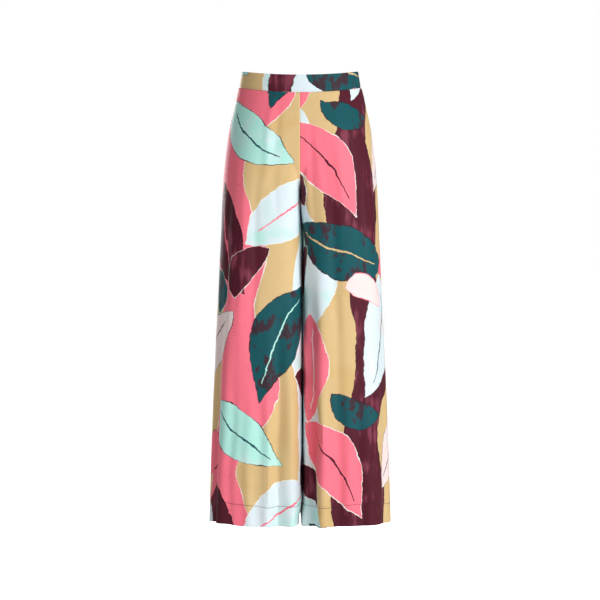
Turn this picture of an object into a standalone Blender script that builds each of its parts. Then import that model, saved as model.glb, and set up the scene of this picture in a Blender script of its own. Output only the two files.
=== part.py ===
"""Wide straight-leg trousers with a high shaped waistband and a concealed zip at the centre back.

Metres, +Z up. The origin is the centre of the waist ring, +X is the wearer's left and the front
faces -Y. The garment keeps the hollow form it has when it is worn: two leg tubes that meet in a
crotch seam and open at the waist and at both hems. Every cloth piece is a thin wall whose outer
face is worked out from horizontal sections.
"""

import math
from collections import namedtuple

import bmesh
import bpy
import numpy as np

# Driving dimensions of the garment
WAIST_TOP = 0.020  # top edge of the waistband at the side seams
BAND_HEIGHT = 0.038
BAND_BOTTOM = WAIST_TOP - BAND_HEIGHT
OUTSEAM = 1.0656  # top of the waistband to the hem, down the side
HEM = WAIST_TOP - OUTSEAM
CROTCH = -0.285
CROTCH_Y = 0.010  # the crotch point lies a little behind the side seams
FRONT_CURVE_HEIGHT = 0.095  # height of the crotch seam's curve above the crotch point
BACK_CURVE_HEIGHT = 0.085
FRONT_DIP_TOP = 0.018  # how far the waistband's top edge dips at the centre front
FRONT_DIP_SEAM = 0.020  # the same for the waist seam
DIP_ENDS = -0.160  # rows of the leg panels are level from here down
DIP_SHAPE = 1.5  # above 1, the dip keeps to the front

CLOTH = 0.0012  # wall of the leg panels
BAND_CLOTH = 0.0020  # faced and interfaced waistband
TAPE_CLOTH = 0.0010
SEAM_GAP = 0.0003  # pieces stay this far apart at every seam

LEG_GAP = 0.0010  # half of the gap between the two legs
LEG_GAP_AT_HEM = 0.0030
LEG_GAP_SETTLES = 0.060  # the gap reaches its width this far below the crotch
LEG_GAP_OPENS = 0.075  # the gap widens over this height above the hem
SWAY = 0.006  # the two inner leg walls wave together to each side by this much
SWAY_SETTLES = 0.100  # the wave grows over this height below the crotch
SWAY_ENDS = (0.005, 0.060)  # and fades between these heights above the hem
SWAY_WIDTH = 0.070  # cloth farther from the middle plane than this stays where it is

# Outer face of the cloth in horizontal sections, one row for each level
Section = namedtuple("Section", "height half_width front back crown fullness")
BAND_SECTIONS = [
    Section(WAIST_TOP, 0.1378, 0.0880, 0.0865, 0.000, 2.05),
    Section(BAND_BOTTOM, 0.1440, 0.0925, 0.0895, 0.000, 2.05),
]
BODY_SECTIONS = [
    Section(BAND_BOTTOM, 0.1452, 0.0937, 0.0907, 0.000, 2.05),
    Section(-0.0350, 0.1500, 0.0970, 0.0960, 0.008, 2.08),
    Section(-0.0600, 0.1552, 0.1012, 0.1045, 0.018, 2.10),
    Section(-0.1100, 0.1662, 0.1082, 0.1175, 0.036, 2.15),
    Section(-0.1600, 0.1735, 0.1116, 0.1268, 0.056, 2.20),
    Section(-0.2150, 0.1797, 0.1130, 0.1305, 0.074, 2.22),
    Section(CROTCH, 0.1838, 0.1130, 0.1285, 0.088, 2.25),
    Section(-0.3600, 0.1868, 0.1125, 0.1250, 0.094, 2.30),
    Section(-0.4800, 0.1922, 0.1120, 0.1215, 0.098, 2.33),
    Section(-0.6200, 0.1992, 0.1120, 0.1200, 0.101, 2.35),
    Section(-0.8000, 0.2068, 0.1130, 0.1200, 0.105, 2.35),
    Section(-0.9500, 0.2125, 0.1140, 0.1210, 0.107, 2.35),
    Section(HEM, 0.2148, 0.1150, 0.1220, 0.108, 2.35),
]

# How square the section is where it turns into the cleft between the legs
SQUARE_AT_CURVE = 7.5
SQUARE_AT_LEG = 4.5
SQUARE_SETTLES = -0.380
CLEFT_BLEND = 8.0  # how tightly the cleft's floor meets its sides

# Largest folds, one row each. A fold follows a share of the half width from the centre to the
# side, deepens from its start down to the hem, and is a ridge where its depth is positive.
Fold = namedtuple("Fold", "leg face across_top across_hem start half_width depth")
LEFT, RIGHT = 1, -1
FRONT, BACK = -1, 1
FOLDS = [
    Fold(RIGHT, FRONT, 0.80, 0.86, -0.18, 0.030, 0.007),
    Fold(RIGHT, FRONT, 0.94, 0.95, -0.42, 0.026, -0.012),
    Fold(RIGHT, FRONT, 0.60, 0.64, -0.25, 0.034, -0.003),
    Fold(RIGHT, FRONT, 0.22, 0.20, -0.46, 0.024, -0.008),
    Fold(RIGHT, FRONT, 0.10, 0.08, -0.40, 0.022, 0.005),
    Fold(LEFT, FRONT, 0.29, 0.24, -0.22, 0.028, 0.006),
    Fold(LEFT, FRONT, 0.12, 0.10, -0.34, 0.030, -0.012),
    Fold(LEFT, FRONT, 0.66, 0.62, -0.30, 0.034, -0.004),
    Fold(LEFT, FRONT, 0.86, 0.80, -0.24, 0.028, 0.005),
    Fold(LEFT, FRONT, 0.97, 0.93, -0.50, 0.026, -0.006),
    Fold(RIGHT, BACK, 0.84, 0.88, -0.26, 0.030, 0.006),
    Fold(RIGHT, BACK, 0.66, 0.70, -0.32, 0.030, -0.009),
    Fold(RIGHT, BACK, 0.46, 0.44, -0.40, 0.030, 0.005),
    Fold(RIGHT, BACK, 0.26, 0.20, -0.36, 0.028, -0.009),
    Fold(LEFT, BACK, 0.76, 0.80, -0.30, 0.030, 0.007),
    Fold(LEFT, BACK, 0.60, 0.58, -0.38, 0.030, -0.008),
    Fold(LEFT, BACK, 0.40, 0.34, -0.34, 0.030, 0.005),
    Fold(LEFT, BACK, 0.20, 0.14, -0.42, 0.026, -0.008),
]
FOLD_GROWTH = 0.8  # below 1, a fold is already deep well above the hem
FOLD_CENTRE_FADE = 0.050  # folds turn straight fore and aft within this distance of the centre

# Grid of each wall
SAMPLES = 48  # points on each quarter of a section before it is divided
COLUMNS = 21  # cells from the inner edge to the side seam
CLEFT_COLUMNS = 6  # of these, the cells inside the cleft
CLEFT_EDGE = 0.016  # the cleft's cells lie within this distance of the middle plane
CLEFT_CROWDING = 1.4  # they stand closer together where the cloth turns into the cleft
SIDE_CROWDING = 0.30  # the other cells stand closer together towards the side seam
UPPER_ROWS = (-0.0300, -0.0500, -0.0800, -0.1150, -0.1550)
CURVE_ANGLES = (0, 20, 38, 56, 72, 90)  # rows beside the crotch curve, in degrees
LEG_ROWS = (-0.300, -0.335, -0.390, -0.460, -0.540, -0.620, -0.700, -0.780, -0.860, -0.930, -0.990)

# Concealed zip
ZIP_END = -0.1901
TAPE_COLUMNS = 4  # cells of the back panels that each tape lies on
TAPE_TOP = 0.0062
BAND_MIDDLE = -0.0060
SLIDER_Z = 0.0115
SLIDER_BODY = (0.0080, 0.0020, 0.0090)
SLIDER_NECK = (0.0014, 0.0042, 0.0056)
SLIDER_FACE = (0.0056, 0.0010, 0.0062)
NECK_CLEARANCE = 0.0004
BAND_V = 0.0020  # half width of the opening at the band's top edge, above the slider
EAR_RADIUS = 0.0011
EAR_WIDTH = 0.0008
EAR_ROOT_SHARE = 0.97  # each ear's root is a little slimmer than its round end
PIN_RADIUS = 0.0005
EYE_RADIUS = 0.0015
EYE_HOLE_RADIUS = 0.0008
EYE_WIDTH = 0.0034
RUNNING_GAP = 0.0003
PULL_LENGTH = 0.0220  # from the pin to the tip
PULL_HALF_WIDTH = 0.0031
PULL_THICKNESS = 0.0010
ROUND_SIDES = 16
TIP_STEP = 15  # degrees between the points of the pull's round tip
SHARP_ANGLE = 40  # degrees

CORAL = (0.807, 0.130, 0.198)
SAND = (0.600, 0.400, 0.150)
PLUM = (0.130, 0.022, 0.040)
TEAL = (0.014, 0.105, 0.118)
ICE = (0.720, 0.860, 0.880)


def clear_scene():
    """Remove every object that the file starts with."""
    for item in list(bpy.data.objects):
        bpy.data.objects.remove(item, do_unlink=True)


def material(name, colour, roughness, metallic=0.0):
    """One Principled material."""
    made = bpy.data.materials.new(name)
    made.use_nodes = True
    shader = made.node_tree.nodes["Principled BSDF"]
    shader.inputs["Base Color"].default_value = (*colour, 1.0)
    shader.inputs["Roughness"].default_value = roughness
    shader.inputs["Metallic"].default_value = metallic
    made.diffuse_color = (*colour, 1.0)
    return made


def add_object(name, mesh_builder, finish):
    """Turn a bmesh into a named, smooth-shaded object at the origin."""
    mesh = bpy.data.meshes.new(name)
    bmesh.ops.recalc_face_normals(mesh_builder, faces=mesh_builder.faces)
    mesh_builder.to_mesh(mesh)
    mesh_builder.free()
    mesh.shade_smooth()
    mesh.set_sharp_from_angle(angle=math.radians(SHARP_ANGLE))
    mesh.materials.append(finish)
    made = bpy.data.objects.new(name, mesh)
    bpy.context.scene.collection.objects.link(made)
    return made


def smoothstep(value, start, end):
    """0 before start, 1 after end, and a soft ramp between."""
    share = np.clip((value - start) / (end - start), 0.0, 1.0)
    return share * share * (3.0 - 2.0 * share)


def section_at(sections, height):
    """Read every column of a section table at one height, on a smooth curve through its rows."""
    table = np.array(sections)[::-1]
    levels = table[:, 0]
    slopes = np.gradient(table, levels, axis=0)
    low = int(np.clip(np.searchsorted(levels, height) - 1, 0, len(levels) - 2))
    step = levels[low + 1] - levels[low]
    t = float(np.clip((height - levels[low]) / step, 0.0, 1.0))
    start = (2 * t**3 - 3 * t**2 + 1) * table[low] + (t**3 - 2 * t**2 + t) * step * slopes[low]
    end = (3 * t**2 - 2 * t**3) * table[low + 1] + (t**3 - t**2) * step * slopes[low + 1]
    return Section(*(start + end))


def curve_share(height, curve_height):
    """How far down the crotch curve a height lies: 0 where it starts, 1 at the crotch point."""
    return float(np.clip((CROTCH + curve_height - height) / curve_height, 0.0, 1.0))


def inner_edge(height):
    """Distance of the centre seam, or of the inseam, from the middle plane."""
    if height >= CROTCH:
        return SEAM_GAP / 2
    opened = LEG_GAP + (LEG_GAP_AT_HEM - LEG_GAP) * smoothstep(-height, -HEM - LEG_GAP_OPENS, -HEM)
    return SEAM_GAP / 2 + (opened - SEAM_GAP / 2) * smoothstep(CROTCH - height, 0.0, LEG_GAP_SETTLES)


def cleft(reach, floor):
    """Depth of the cleft where its sides would reach in so far and its floor lies so deep."""
    if floor <= 0.0:
        return np.zeros_like(reach)
    limited = reach / (1.0 + (reach / floor) ** CLEFT_BLEND) ** (1.0 / CLEFT_BLEND)
    return limited * (1.0 + floor**CLEFT_BLEND) ** (1.0 / CLEFT_BLEND)


def half_section(section, face):
    """One half of a section, front or back, as points from the inner edge to the side seam."""
    depth = section.front if face == FRONT else section.back
    curve_height = FRONT_CURVE_HEIGHT if face == FRONT else BACK_CURVE_HEIGHT
    settled = smoothstep(-section.height, -CROTCH - FRONT_CURVE_HEIGHT, -SQUARE_SETTLES)
    square = SQUARE_AT_CURVE + (SQUARE_AT_LEG - SQUARE_AT_CURVE) * settled
    inner_x = inner_edge(section.height)
    crown = max(section.crown, inner_x)

    turn = np.linspace(math.pi / 2, 0.0, SAMPLES, endpoint=False)
    reach = 1.0 - np.cos(turn) ** (2.0 / square)
    floor = 1.0 - math.sqrt(1.0 - curve_share(section.height, curve_height) ** 2)
    inner_y = depth - (depth - face * CROTCH_Y) * cleft(reach, floor)
    inner_s = np.sin(turn) ** (2.0 / square)
    inner = np.column_stack([crown - (crown - inner_x) * inner_s, face * inner_y])

    turn = np.linspace(0.0, math.pi / 2, SAMPLES + 1)
    outer_x = crown + (section.half_width - crown) * np.sin(turn) ** (2.0 / section.fullness)
    outer_y = face * depth * np.cos(turn) ** (2.0 / section.fullness)
    return np.vstack([inner, np.column_stack([outer_x, outer_y])])


def along(points):
    """Distance of each point along a line of points."""
    steps = np.linalg.norm(np.diff(points, axis=0), axis=1)
    return np.concatenate([[0.0], np.cumsum(steps)])


def fold_depths(leg, face, height, points):
    """Sum of the folds at each point of a half section."""
    distance = along(points)
    depth = np.zeros(len(points))
    for fold in FOLDS:
        if fold.leg != leg or fold.face != face or height > fold.start:
            continue
        down = (fold.start - height) / (fold.start - HEM)
        across = fold.across_top + (fold.across_hem - fold.across_top) * down
        centre = np.interp(across * points[-1, 0], points[:, 0], distance)
        near = np.clip(np.abs(distance - centre) / fold.half_width, 0.0, 1.0)
        depth += fold.depth * down**FOLD_GROWTH * np.cos(near * math.pi / 2) ** 2
    return depth


def column_places(points):
    """Distances of the columns along a half section: those of the cleft, then those of the face."""
    distance = along(points)
    corner = np.interp(CLEFT_EDGE, points[:, 0], distance)
    inner = 1.0 - (1.0 - np.linspace(0.0, 1.0, CLEFT_COLUMNS, endpoint=False)) ** CLEFT_CROWDING
    outer = np.linspace(0.0, 1.0, COLUMNS - CLEFT_COLUMNS + 1)
    outer = outer + SIDE_CROWDING * np.sin(math.pi * outer) / math.pi
    return np.concatenate([corner * inner, corner + (distance[-1] - corner) * outer])


def folded_half(leg, face, sections, height):
    """Columns of one half section of a leg, with its folds."""
    plain = half_section(section_at(sections, height), face)
    tangent = np.gradient(plain, axis=0)
    tangent /= np.maximum(np.linalg.norm(tangent, axis=1, keepdims=True), 1e-12)
    outward = np.column_stack([tangent[:, 1], -tangent[:, 0]]) * -face
    outward[:, 0] *= smoothstep(plain[:, 0], 0.0, FOLD_CENTRE_FADE)
    moved = plain + outward * fold_depths(leg, face, height, plain)[:, None]
    distance = along(plain)
    places = column_places(plain)
    return np.column_stack([np.interp(places, distance, moved[:, axis]) for axis in range(2)])


def sway(height, y, x):
    """Sideways wave that the two inner leg walls share."""
    section = section_at(BODY_SECTIONS, height)
    share = np.clip((y + section.front) / (section.front + section.back), 0.0, 1.0)
    below = smoothstep(CROTCH - height, 0.0, SWAY_SETTLES)
    above_hem = smoothstep(height - HEM, *SWAY_ENDS)
    near_centre = 1.0 - smoothstep(x, 0.0, SWAY_WIDTH)
    return SWAY * np.sin(2.0 * math.pi * share) * below * above_hem * near_centre


def dip(height, y):
    """Drop of the rows at the centre front, which follows the waistband's curve."""
    at_seam = FRONT_DIP_SEAM * (1.0 - smoothstep(-height, -BAND_BOTTOM, -DIP_ENDS))
    at_top = FRONT_DIP_TOP + (FRONT_DIP_SEAM - FRONT_DIP_TOP) * (WAIST_TOP - height) / BAND_HEIGHT
    amount = at_seam if height <= BAND_BOTTOM else at_top
    depth = section_at(BODY_SECTIONS, min(height, BAND_BOTTOM)).front
    return amount * np.clip(-y / depth, 0.0, 1.0) ** DIP_SHAPE


def ring_row(leg, sections, height):
    """One leg's row: inner edge, round the front to the side seam, round the back to the inner edge."""
    front = folded_half(leg, FRONT, sections, height)
    back = folded_half(leg, BACK, sections, height)
    side = (front[-1] + back[-1]) / 2
    flat = np.vstack([front[:-1], side, back[-2::-1]])
    x = leg * flat[:, 0] + sway(height, flat[:, 1], flat[:, 0])
    return np.column_stack([x, flat[:, 1], height - dip(height, flat[:, 1])])


def normals_of(grid, leg, closed_from):
    """Outward unit normals of a ring grid. Rows from closed_from down are joined at the inseam."""
    round_step = np.gradient(grid, axis=1)
    wrapped = grid[closed_from:, 1] - grid[closed_from:, -2]
    round_step[closed_from:, 0] = wrapped
    round_step[closed_from:, -1] = wrapped
    down_step = np.gradient(grid, axis=0)
    normals = np.cross(down_step, round_step) * leg
    lengths = np.linalg.norm(normals, axis=2, keepdims=True)
    normals = normals / np.maximum(lengths, 1e-12)
    seams = normals[:closed_from, [0, -1]]
    seams[..., 0] = leg * np.minimum(leg * seams[..., 0], 0.0)
    normals[:closed_from, [0, -1]] = seams / np.linalg.norm(seams, axis=2, keepdims=True)
    return normals


def wall(name, outer, inner, finish):
    """Closed wall between two grids of points, with the same diagonals on both faces."""
    rows, columns = outer.shape[:2]
    builder = bmesh.new()
    faces = [[[builder.verts.new(p) for p in row] for row in grid] for grid in (outer, inner)]
    for i in range(rows - 1):
        for j in range(columns - 1):
            corners = ((i, j), (i, j + 1), (i + 1, j + 1), (i + 1, j))
            one = np.linalg.norm(outer[i, j] - outer[i + 1, j + 1])
            other = np.linalg.norm(outer[i, j + 1] - outer[i + 1, j])
            order = (0, 1, 2, 3) if one < other else (1, 2, 3, 0)
            a, b, c, d = (corners[k] for k in order)
            for k, grid in enumerate(faces):
                for triangle in ((a, b, c), (a, c, d)):
                    path = triangle if k == 0 else triangle[::-1]
                    builder.faces.new([grid[r][s] for r, s in path])
    border = [(0, j) for j in range(columns)]
    border += [(i, columns - 1) for i in range(1, rows)]
    border += [(rows - 1, j) for j in range(columns - 2, -1, -1)]
    border += [(i, 0) for i in range(rows - 2, 0, -1)]
    for (r0, s0), (r1, s1) in zip(border, border[1:] + border[:1]):
        builder.faces.new([faces[0][r1][s1], faces[0][r0][s0], faces[1][r0][s0], faces[1][r1][s1]])
    return add_object(name, builder, finish)


def part_at_seams(grid, edge_rows, edges):
    """Draw the given edge columns of a panel back from the seam by half of the gap."""
    moved = grid.copy()
    for column, neighbour in edges:
        towards = grid[edge_rows, neighbour] - grid[edge_rows, column]
        towards /= np.linalg.norm(towards, axis=-1, keepdims=True)
        moved[edge_rows, column] += towards * SEAM_GAP / 2
    return moved


def panel_heights():
    """Levels of the rows of a leg panel, from just under the waist seam to the hem."""
    curve = [
        CROTCH + FRONT_CURVE_HEIGHT * (1.0 - math.sin(math.radians(angle)))
        for angle in CURVE_ANGLES
    ]
    return [BAND_BOTTOM - SEAM_GAP, *UPPER_ROWS, *curve, *LEG_ROWS, HEM]


def leg_panels(leg, side, front_finish, back_finish):
    """Front and back panel of one leg. Returns the back panel's outer and inner points."""
    heights = panel_heights()
    grid = np.array([ring_row(leg, BODY_SECTIONS, height) for height in heights])
    crotch_row = heights.index(LEG_ROWS[0]) - 1
    normals = normals_of(grid, leg, crotch_row + 1)
    inner_grid = grid - normals * CLOTH
    every_row = slice(0, None)
    inseam = slice(crotch_row, None)
    panels = {}
    for name, finish, first, side_edge, inner_edges in (
        ("front", front_finish, 0, (-1, -2), (0, 1)),
        ("back", back_finish, COLUMNS, (0, 1), (-1, -2)),
    ):
        panel = []
        for surface in (grid, inner_grid):
            piece = surface[:, first : first + COLUMNS + 1]
            piece = part_at_seams(piece, every_row, [side_edge])
            panel.append(part_at_seams(piece, inseam, [inner_edges]))
        wall(f"{name}_{side}", *panel, finish)
        panels[name] = panel
    return panels["back"]


def waistband(front_finish, back_finish):
    """Front waistband and two back halves. Returns the halves' inner points from the tape's top down."""
    neck_foot = SLIDER_Z - SLIDER_NECK[2] / 2 - RUNNING_GAP
    levels = [WAIST_TOP, neck_foot, TAPE_TOP, BAND_MIDDLE, BAND_BOTTOM]
    rings = {
        leg: np.array([ring_row(leg, BAND_SECTIONS, level) for level in levels])
        for leg in (LEFT, RIGHT)
    }
    inners = {leg: rings[leg] - normals_of(rings[leg], leg, len(levels)) * BAND_CLOTH for leg in rings}
    every_row = slice(0, None)
    front = []
    for surface in (rings, inners):
        right_half = surface[RIGHT][:, COLUMNS:0:-1]
        left_half = surface[LEFT][:, 1 : COLUMNS + 1]
        middle = (surface[RIGHT][:, :1] + surface[LEFT][:, :1]) / 2
        whole = np.concatenate([right_half, middle, left_half], axis=1)
        front.append(part_at_seams(whole, every_row, [(0, 1), (-1, -2)]))
    wall("waistband_front", *front, front_finish)

    neck_half = SLIDER_NECK[0] / 2 + NECK_CLEARANCE
    centre_back = {}
    for leg, side in ((LEFT, "left"), (RIGHT, "right")):
        half = []
        for surface in (rings, inners):
            piece = part_at_seams(surface[leg][:, COLUMNS:], every_row, [(0, 1)])
            piece[0, -1, 0] = leg * BAND_V
            piece[1, -1, 0] = leg * neck_half
            half.append(piece)
        wall(f"waistband_back_{side}", *half, back_finish)
        centre_back[leg] = half[1]
    return {leg: piece[levels.index(TAPE_TOP) :] for leg, piece in centre_back.items()}


def zip_tape(band_inner, backs, finish):
    """Closed tapes of the zip, made from the inner points on both sides of the seam, moved in."""
    rows = list(zip(band_inner[LEFT], band_inner[RIGHT]))
    for height, left, right in zip(panel_heights(), backs[LEFT][1], backs[RIGHT][1]):
        if UPPER_ROWS[0] >= height >= ZIP_END:
            rows.append((left, right))
    last = -TAPE_COLUMNS - 1
    outer = np.array([np.vstack([right[last:], left[: last - 1 : -1]]) for left, right in rows])
    outer[..., 1] -= SEAM_GAP
    inner = outer.copy()
    inner[..., 1] -= TAPE_CLOTH
    return wall("zip_tape", outer, inner, finish)


def box(builder, centre, size):
    """Add a box to a bmesh."""
    made = bmesh.ops.create_cube(builder, size=1.0)["verts"]
    bmesh.ops.scale(builder, vec=size, verts=made)
    bmesh.ops.translate(builder, vec=centre, verts=made)
    return made


def rod(builder, centre, radius, length):
    """Add a cylinder along X to a bmesh."""
    made = bmesh.ops.create_cone(
        builder,
        cap_ends=True,
        segments=ROUND_SIDES,
        radius1=radius,
        radius2=radius,
        depth=length,
    )["verts"]
    quarter = np.array([[0.0, 0.0, 1.0], [0.0, 1.0, 0.0], [-1.0, 0.0, 0.0]])
    for vertex in made:
        vertex.co = tuple(quarter @ np.array(vertex.co) + np.array(centre))
    return made


def helper(name, finish, add, *sizes):
    """A hidden solid that a Boolean uses."""
    builder = bmesh.new()
    add(builder, *sizes)
    made = add_object(name, builder, finish)
    made.hide_render = True
    made.display_type = "WIRE"
    return made


def combine(target, other, operation):
    """Join a helper to an object, or cut it away."""
    step = target.modifiers.new(f"{operation.lower()} {other.name}", "BOOLEAN")
    step.operation = operation
    step.object = other


def band_back_y(height):
    """How far back the waistband's outer face lies at the centre back."""
    return section_at(BAND_SECTIONS, height).back


def zip_slider(pin_y, finish):
    """Slider: a body behind the band, a neck through the gap, and a face with two ears and a pin."""
    band_inside = band_back_y(SLIDER_Z + SLIDER_BODY[2] / 2) - BAND_CLOTH
    inner_y = band_inside - SEAM_GAP - SLIDER_BODY[1] / 2
    face_y = pin_y - EYE_RADIUS - RUNNING_GAP - SLIDER_FACE[1] / 2
    builder = bmesh.new()
    box(builder, (0.0, inner_y, SLIDER_Z), SLIDER_BODY)
    slider = add_object("zip_slider", builder, finish)
    neck_y = (inner_y + face_y) / 2
    neck = helper("neck", finish, box, (0.0, neck_y, SLIDER_Z), SLIDER_NECK)
    face = helper("face", finish, box, (0.0, face_y, SLIDER_Z), SLIDER_FACE)
    combine(slider, neck, "UNION")
    combine(slider, face, "UNION")
    ear_x = EYE_WIDTH / 2 + RUNNING_GAP + EAR_WIDTH / 2
    for sign in (LEFT, RIGHT):
        place = (sign * ear_x, pin_y, SLIDER_Z)
        root = (sign * ear_x, (face_y + pin_y) / 2, SLIDER_Z)
        reach = (EAR_WIDTH * EAR_ROOT_SHARE, pin_y - face_y, 2 * EAR_RADIUS * EAR_ROOT_SHARE)
        combine(slider, helper(f"ear_root_{sign}", finish, box, root, reach), "UNION")
        combine(slider, helper(f"ear_{sign}", finish, rod, place, EAR_RADIUS, EAR_WIDTH), "UNION")
    length = 2 * ear_x
    pin = helper("pin", finish, rod, (0.0, pin_y, SLIDER_Z), PIN_RADIUS, length)
    combine(slider, pin, "UNION")
    return slider


def pull_outline():
    """Teardrop outline of the pull from the pin down, as (x, drop) pairs."""
    tip_centre = PULL_LENGTH - PULL_HALF_WIDTH
    points = [(EYE_WIDTH / 2, 0.0), (EYE_WIDTH / 2, EYE_RADIUS)]
    for angle in range(0, 181, TIP_STEP):
        turn = math.radians(angle)
        x = PULL_HALF_WIDTH * math.cos(turn)
        points.append((x, tip_centre + PULL_HALF_WIDTH * math.sin(turn)))
    points += [(-EYE_WIDTH / 2, EYE_RADIUS), (-EYE_WIDTH / 2, 0.0)]
    return points


def zip_pull(pin_y, finish):
    """Pull tab: a teardrop plate that hangs from an eye round the slider's pin."""
    builder = bmesh.new()
    outline = [
        builder.verts.new((x, pin_y - PULL_THICKNESS / 2, SLIDER_Z - drop))
        for x, drop in pull_outline()
    ]
    plate = builder.faces.new(outline)
    grown = bmesh.ops.extrude_face_region(builder, geom=[plate])["geom"]
    lifted = [item for item in grown if isinstance(item, bmesh.types.BMVert)]
    bmesh.ops.translate(builder, vec=(0.0, PULL_THICKNESS, 0.0), verts=lifted)
    pull = add_object("zip_pull", builder, finish)
    place = (0.0, pin_y, SLIDER_Z)
    combine(pull, helper("eye", finish, rod, place, EYE_RADIUS, EYE_WIDTH), "UNION")
    hole = helper("eye_hole", finish, rod, place, EYE_HOLE_RADIUS, EYE_WIDTH * 2)
    combine(pull, hole, "DIFFERENCE")
    return pull


def main():
    """Build every piece."""
    clear_scene()
    backs = {
        LEFT: leg_panels(
            LEFT, "left", material("printed crepe, coral", CORAL, 0.55),
            material("printed crepe, teal", TEAL, 0.55),
        ),
        RIGHT: leg_panels(
            RIGHT, "right", material("printed crepe, sand", SAND, 0.55),
            material("printed crepe, plum", PLUM, 0.55),
        ),
    }
    band_inner = waistband(
        material("waistband crepe, coral", CORAL, 0.5), material("waistband crepe, plum", PLUM, 0.5)
    )
    zip_tape(band_inner, backs, material("zip tape, pale", ICE, 0.8))

    face_back = band_back_y(SLIDER_Z - SLIDER_FACE[2] / 2) + SEAM_GAP + SLIDER_FACE[1]
    pin_y = face_back + RUNNING_GAP + EYE_RADIUS
    zip_slider(pin_y, material("lacquered metal, slider", PLUM, 0.35, 0.6))
    zip_pull(pin_y, material("lacquered metal, pull", PLUM, 0.3, 0.6))


main()
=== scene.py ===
"""Looks of the wide straight-leg trousers: printed crepe, stitched hems and a concealed back zip.

Metres, +Z up. +X is the wearer's left and the front faces -Y. Each leg panel is a thin shell on
the form of its solid, with finer creases, rolled seams and a turned-up hem.
"""

import math
from collections import namedtuple

import bmesh
import bpy
import numpy as np
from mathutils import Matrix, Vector


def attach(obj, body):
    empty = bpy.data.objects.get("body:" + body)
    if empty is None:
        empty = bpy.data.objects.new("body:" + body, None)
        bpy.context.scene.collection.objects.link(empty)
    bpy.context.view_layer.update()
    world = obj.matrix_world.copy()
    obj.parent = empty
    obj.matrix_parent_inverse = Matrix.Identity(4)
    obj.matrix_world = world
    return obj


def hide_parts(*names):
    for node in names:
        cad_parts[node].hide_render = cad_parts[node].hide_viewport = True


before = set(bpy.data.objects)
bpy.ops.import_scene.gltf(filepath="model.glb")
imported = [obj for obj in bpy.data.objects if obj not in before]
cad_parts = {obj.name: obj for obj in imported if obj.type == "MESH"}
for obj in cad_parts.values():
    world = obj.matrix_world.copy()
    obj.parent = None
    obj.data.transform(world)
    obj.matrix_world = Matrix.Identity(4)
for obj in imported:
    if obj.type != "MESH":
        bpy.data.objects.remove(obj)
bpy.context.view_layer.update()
BODY = "trousers"
LEFT, RIGHT = 1, -1  # the wearer's sides, along X
SIDES = ((LEFT, "left"), (RIGHT, "right"))
FRONT, BACK = -1, 1  # along Y

# ---------------------------------------------------------------- sizes of the garment

WAIST_TOP = 0.020
BAND_HEIGHT = 0.038
BAND_BOTTOM = WAIST_TOP - BAND_HEIGHT
OUTSEAM = 1.0656
HEM = WAIST_TOP - OUTSEAM
CROTCH = -0.285
CROTCH_Y = 0.010
CURVE_HEIGHTS = {FRONT: 0.095, BACK: 0.085}  # the crotch curve starts this far above the crotch
FRONT_DIP_TOP = 0.018  # the waistband's edges drop by this much at the centre front
FRONT_DIP_SEAM = 0.020
DIP_ENDS = -0.160
DIP_SHAPE = 1.5

CREPE = 0.0006  # one layer of the crepe
TURN_UP = 0.0014  # the hem's three layers
BAND_CLOTH = 0.0020
SEAM_GAP = 0.0001
CENTRE_SEAM_HALF = 0.00002

LEG_GAP = 0.0010  # half of the gap between the legs
LEG_GAP_AT_HEM = 0.0020
LEG_GAP_SETTLES = 0.060
LEG_GAP_OPENS = 0.042
SWAY = 0.006  # the inner leg walls wave sideways by this much
SWAY_SETTLES = 0.100
SWAY_ENDS = (0.005, 0.060)
SWAY_WIDTH = 0.070

Section = namedtuple("Section", "height half_width front back crown fullness")
BAND_SECTIONS = [
    Section(WAIST_TOP, 0.1378, 0.0880, 0.0865, 0.000, 2.05),
    Section(BAND_BOTTOM, 0.1440, 0.0925, 0.0895, 0.000, 2.05),
]
BODY_SECTIONS = [
    Section(BAND_BOTTOM, 0.1452, 0.0937, 0.0907, 0.000, 2.05),
    Section(-0.0350, 0.1500, 0.0970, 0.0960, 0.008, 2.08),
    Section(-0.0600, 0.1552, 0.1012, 0.1045, 0.018, 2.10),
    Section(-0.1100, 0.1662, 0.1082, 0.1175, 0.036, 2.15),
    Section(-0.1600, 0.1735, 0.1116, 0.1268, 0.056, 2.20),
    Section(-0.2150, 0.1797, 0.1130, 0.1305, 0.074, 2.22),
    Section(CROTCH, 0.1838, 0.1130, 0.1285, 0.088, 2.25),
    Section(-0.3600, 0.1868, 0.1125, 0.1250, 0.094, 2.30),
    Section(-0.4800, 0.1922, 0.1120, 0.1215, 0.098, 2.33),
    Section(-0.6200, 0.1992, 0.1120, 0.1200, 0.101, 2.35),
    Section(-0.8000, 0.2068, 0.1130, 0.1200, 0.105, 2.35),
    Section(-0.9500, 0.2125, 0.1140, 0.1210, 0.107, 2.35),
    Section(HEM, 0.2148, 0.1150, 0.1220, 0.108, 2.35),
]
SQUARE_AT_CURVE = 7.5  # how square the inner corners of a leg are
SQUARE_AT_LEG = 4.5
SQUARE_SETTLES = -0.380
CLEFT_BLEND = 8.0
CLEFT_EDGE = 0.016

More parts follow.
